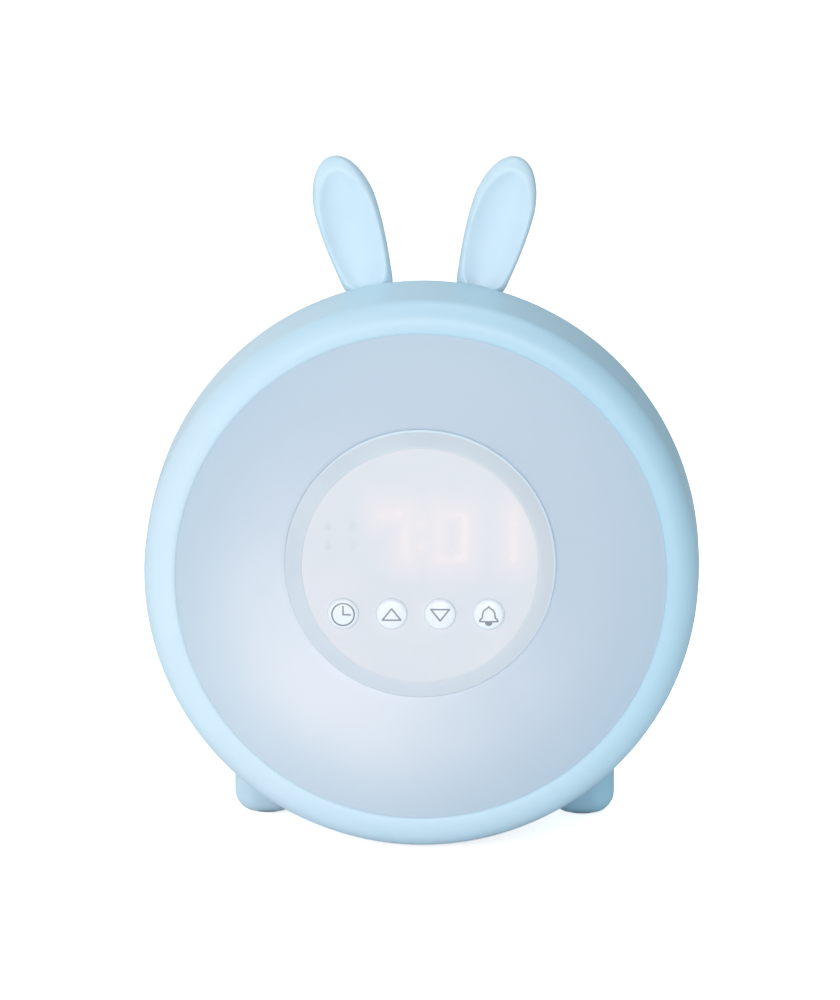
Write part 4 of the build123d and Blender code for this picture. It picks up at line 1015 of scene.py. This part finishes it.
def resizeWhere(obj, axis, grow, wanted):
    # scales about the cap's axis the vertices that wanted picks by radius and depth
    bpy.ops.object.mode_set(mode="EDIT")
    bpy.ops.mesh.select_all(action="DESELECT")
    bpy.ops.object.mode_set(mode="OBJECT")
    for vertex in obj.data.vertices:
        radius = math.hypot(vertex.co.x - axis.x, vertex.co.z - axis.z) / mm
        vertex.select = wanted(radius, vertex.co.y)
    bpy.ops.object.mode_set(mode="EDIT")
    bpy.ops.transform.resize(value=(grow, 1, grow), center_override=axis)
    bpy.ops.object.mode_set(mode="OBJECT")


def buttonPiece(node, name):
    shape = capShape
    obj = smoothCopy(node, name)
    low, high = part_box(node)
    axis = Vector(((low.x + high.x) / 2, 0, drum["displayZ"] + signs["rowHeight"] * mm))
    cutY = drum["seamY"] + shape["footDepth"] * mm
    crownY = drum["seamY"] + shape["crownDepth"] * mm
    sideY = cutY - shape["nearDepth"] * mm
    bpy.ops.object.mode_set(mode="EDIT")
    bpy.ops.mesh.select_all(action="SELECT")
    bpy.ops.mesh.bisect(plane_co=(0, cutY, 0), plane_no=(0, 1, 0))
    bpy.ops.object.mode_set(mode="OBJECT")
    resizeWhere(obj, axis, shape["foot"] / shape["top"],
                lambda radius, y: abs(radius - shape["top"]) < shape["near"] and y > sideY)
    resizeWhere(obj, axis, shape["crown"], lambda radius, y: y < crownY)
    smoothed(obj, 40)
    return obj


for node in buttonSigns:
    standFor(buttonPiece(node, node.replace("_b", "B")), node, nodeMaterials[node])

print("floor, light and camera")
stage = {
    "floorSize": 12.0,
    "floorGlow": 0.75,           # lifts the floor to white where the camera sees it
    # what the room gives from each side
    "roomLeft": (1.2, 1.18, 1.18, 1.0),
    "roomRight": (0.03, 0.03, 0.03, 1.0),
    "roomTop": (0.27, 0.40, 0.44, 1.0),
    "lampAim": (0, 0, 0.08),
}


def floorPiece():
    deselectAll()
    bpy.ops.mesh.primitive_plane_add(size=stage["floorSize"], location=(0, 0, 0))
    floor = bpy.context.object
    floor.name = "floor"
    constants = {"Roughness": 0.8, "Emission Strength": 1.0}
    material, start, shader = newMaterial("paleFloor", constants)
    seen = start.node("ShaderNodeLightPath", output=0)
    speck = noise(start, objectPlace(start), 0.3, 2.0)
    feed(shader, "Base Color", speck.blend(tone(246, 247, 249), tone(250, 250, 251)))
    glow = seen * stage["floorGlow"]
    grey = start.node("ShaderNodeCombineColor", inputs={0: glow, 1: glow, 2: glow})
    feed(shader, "Emission Color", grey)
    dress(floor, material)


def worldLight():
    # white where the camera sees it; otherwise a soft room, brighter on the left and above
    world = bpy.data.worlds.new("softRoom")
    bpy.context.scene.world = world
    world.use_nodes = True
    world.node_tree.nodes.clear()
    start = Wire(world.node_tree)
    seen = start.node("ShaderNodeLightPath", output=0)
    away = start.node("ShaderNodeTexCoord", output=0)
    side = start.node("ShaderNodeSeparateXYZ", inputs={0: away}).ease(-0.9, 0.9)
    rise = start.node("ShaderNodeSeparateXYZ", inputs={0: away}, output=2).ease(0.1, 0.95)
    room = side.blend(stage["roomLeft"], stage["roomRight"])
    room = rise.blend(room, stage["roomTop"])
    colour = seen.blend(room, (1.0, 1.0, 1.0, 1.0))
    sky = start.node("ShaderNodeBackground", inputs={0: colour, 1: 1.0})
    start.node("ShaderNodeOutputWorld", inputs={0: sky})


# place and size in metres, power in watts, colour
lamps = {
    "front": ((0.1, -2.7, 0.95), 1.4, 30.0, (1.0, 0.93, 0.905)),
    "low": ((-0.2, -2.3, 0.12), 0.9, 5.2, (0.74, 0.96, 1.08)),
    "right": ((1.5, -1.6, 0.8), 1.2, 0.8, (1.0, 1.0, 1.0)),
    "top": ((0.35, 0.45, 1.8), 1.4, 10.0, (0.94, 1.0, 1.03)),
}


def lampPiece(name, place, size, power, colour):
    data = bpy.data.lights.new(name, "AREA")
    data.shape = "DISK"
    data.size = size
    data.energy = power
    data.color = colour
    obj = bpy.data.objects.new(name, data)
    bpy.context.scene.collection.objects.link(obj)
    obj.location = place
    aim = Vector(stage["lampAim"]) - Vector(place)
    obj.rotation_euler = aim.to_track_quat("-Z", "Y").to_euler()


camera = {
    "azimuth": 1.2, "elevation": 9.85, "distance": 2.0,
    "scale": 3.768,              # pixels to a millimetre at the aim point
    "aim": (-0.19, 0.0, 20.8),   # millimetres from the middle of the face seam
    "frameHeight": 1000,         # pixels
}


def cameraPiece():
    data = bpy.data.cameras.new("camera")
    obj = bpy.data.objects.new("camera", data)
    bpy.context.scene.collection.objects.link(obj)
    turn, rise = math.radians(camera["azimuth"]), math.radians(camera["elevation"])
    level = math.cos(rise)
    back = Vector((math.sin(turn) * level, -math.cos(turn) * level, math.sin(rise)))
    across, deep, up = camera["aim"]
    aim = Vector((across * mm, drum["seamY"] + deep * mm, drum["axisZ"] + up * mm))
    obj.location = aim + back * camera["distance"]
    obj.rotation_euler = (-back).to_track_quat("-Z", "Y").to_euler()
    # the sensor lies along the frame's longer side, which is its height
    seenHeight = camera["frameHeight"] / (camera["scale"] / mm)
    data.lens = camera["distance"] * data.sensor_width / seenHeight
    data.clip_start = 0.05
    data.clip_end = 60
    bpy.context.scene.camera = obj


floorPiece()
worldLight()
for name, values in lamps.items():
    lampPiece(name, *values)
cameraPiece()
bpy.context.scene.view_settings.view_transform = "Standard"

print("finish")
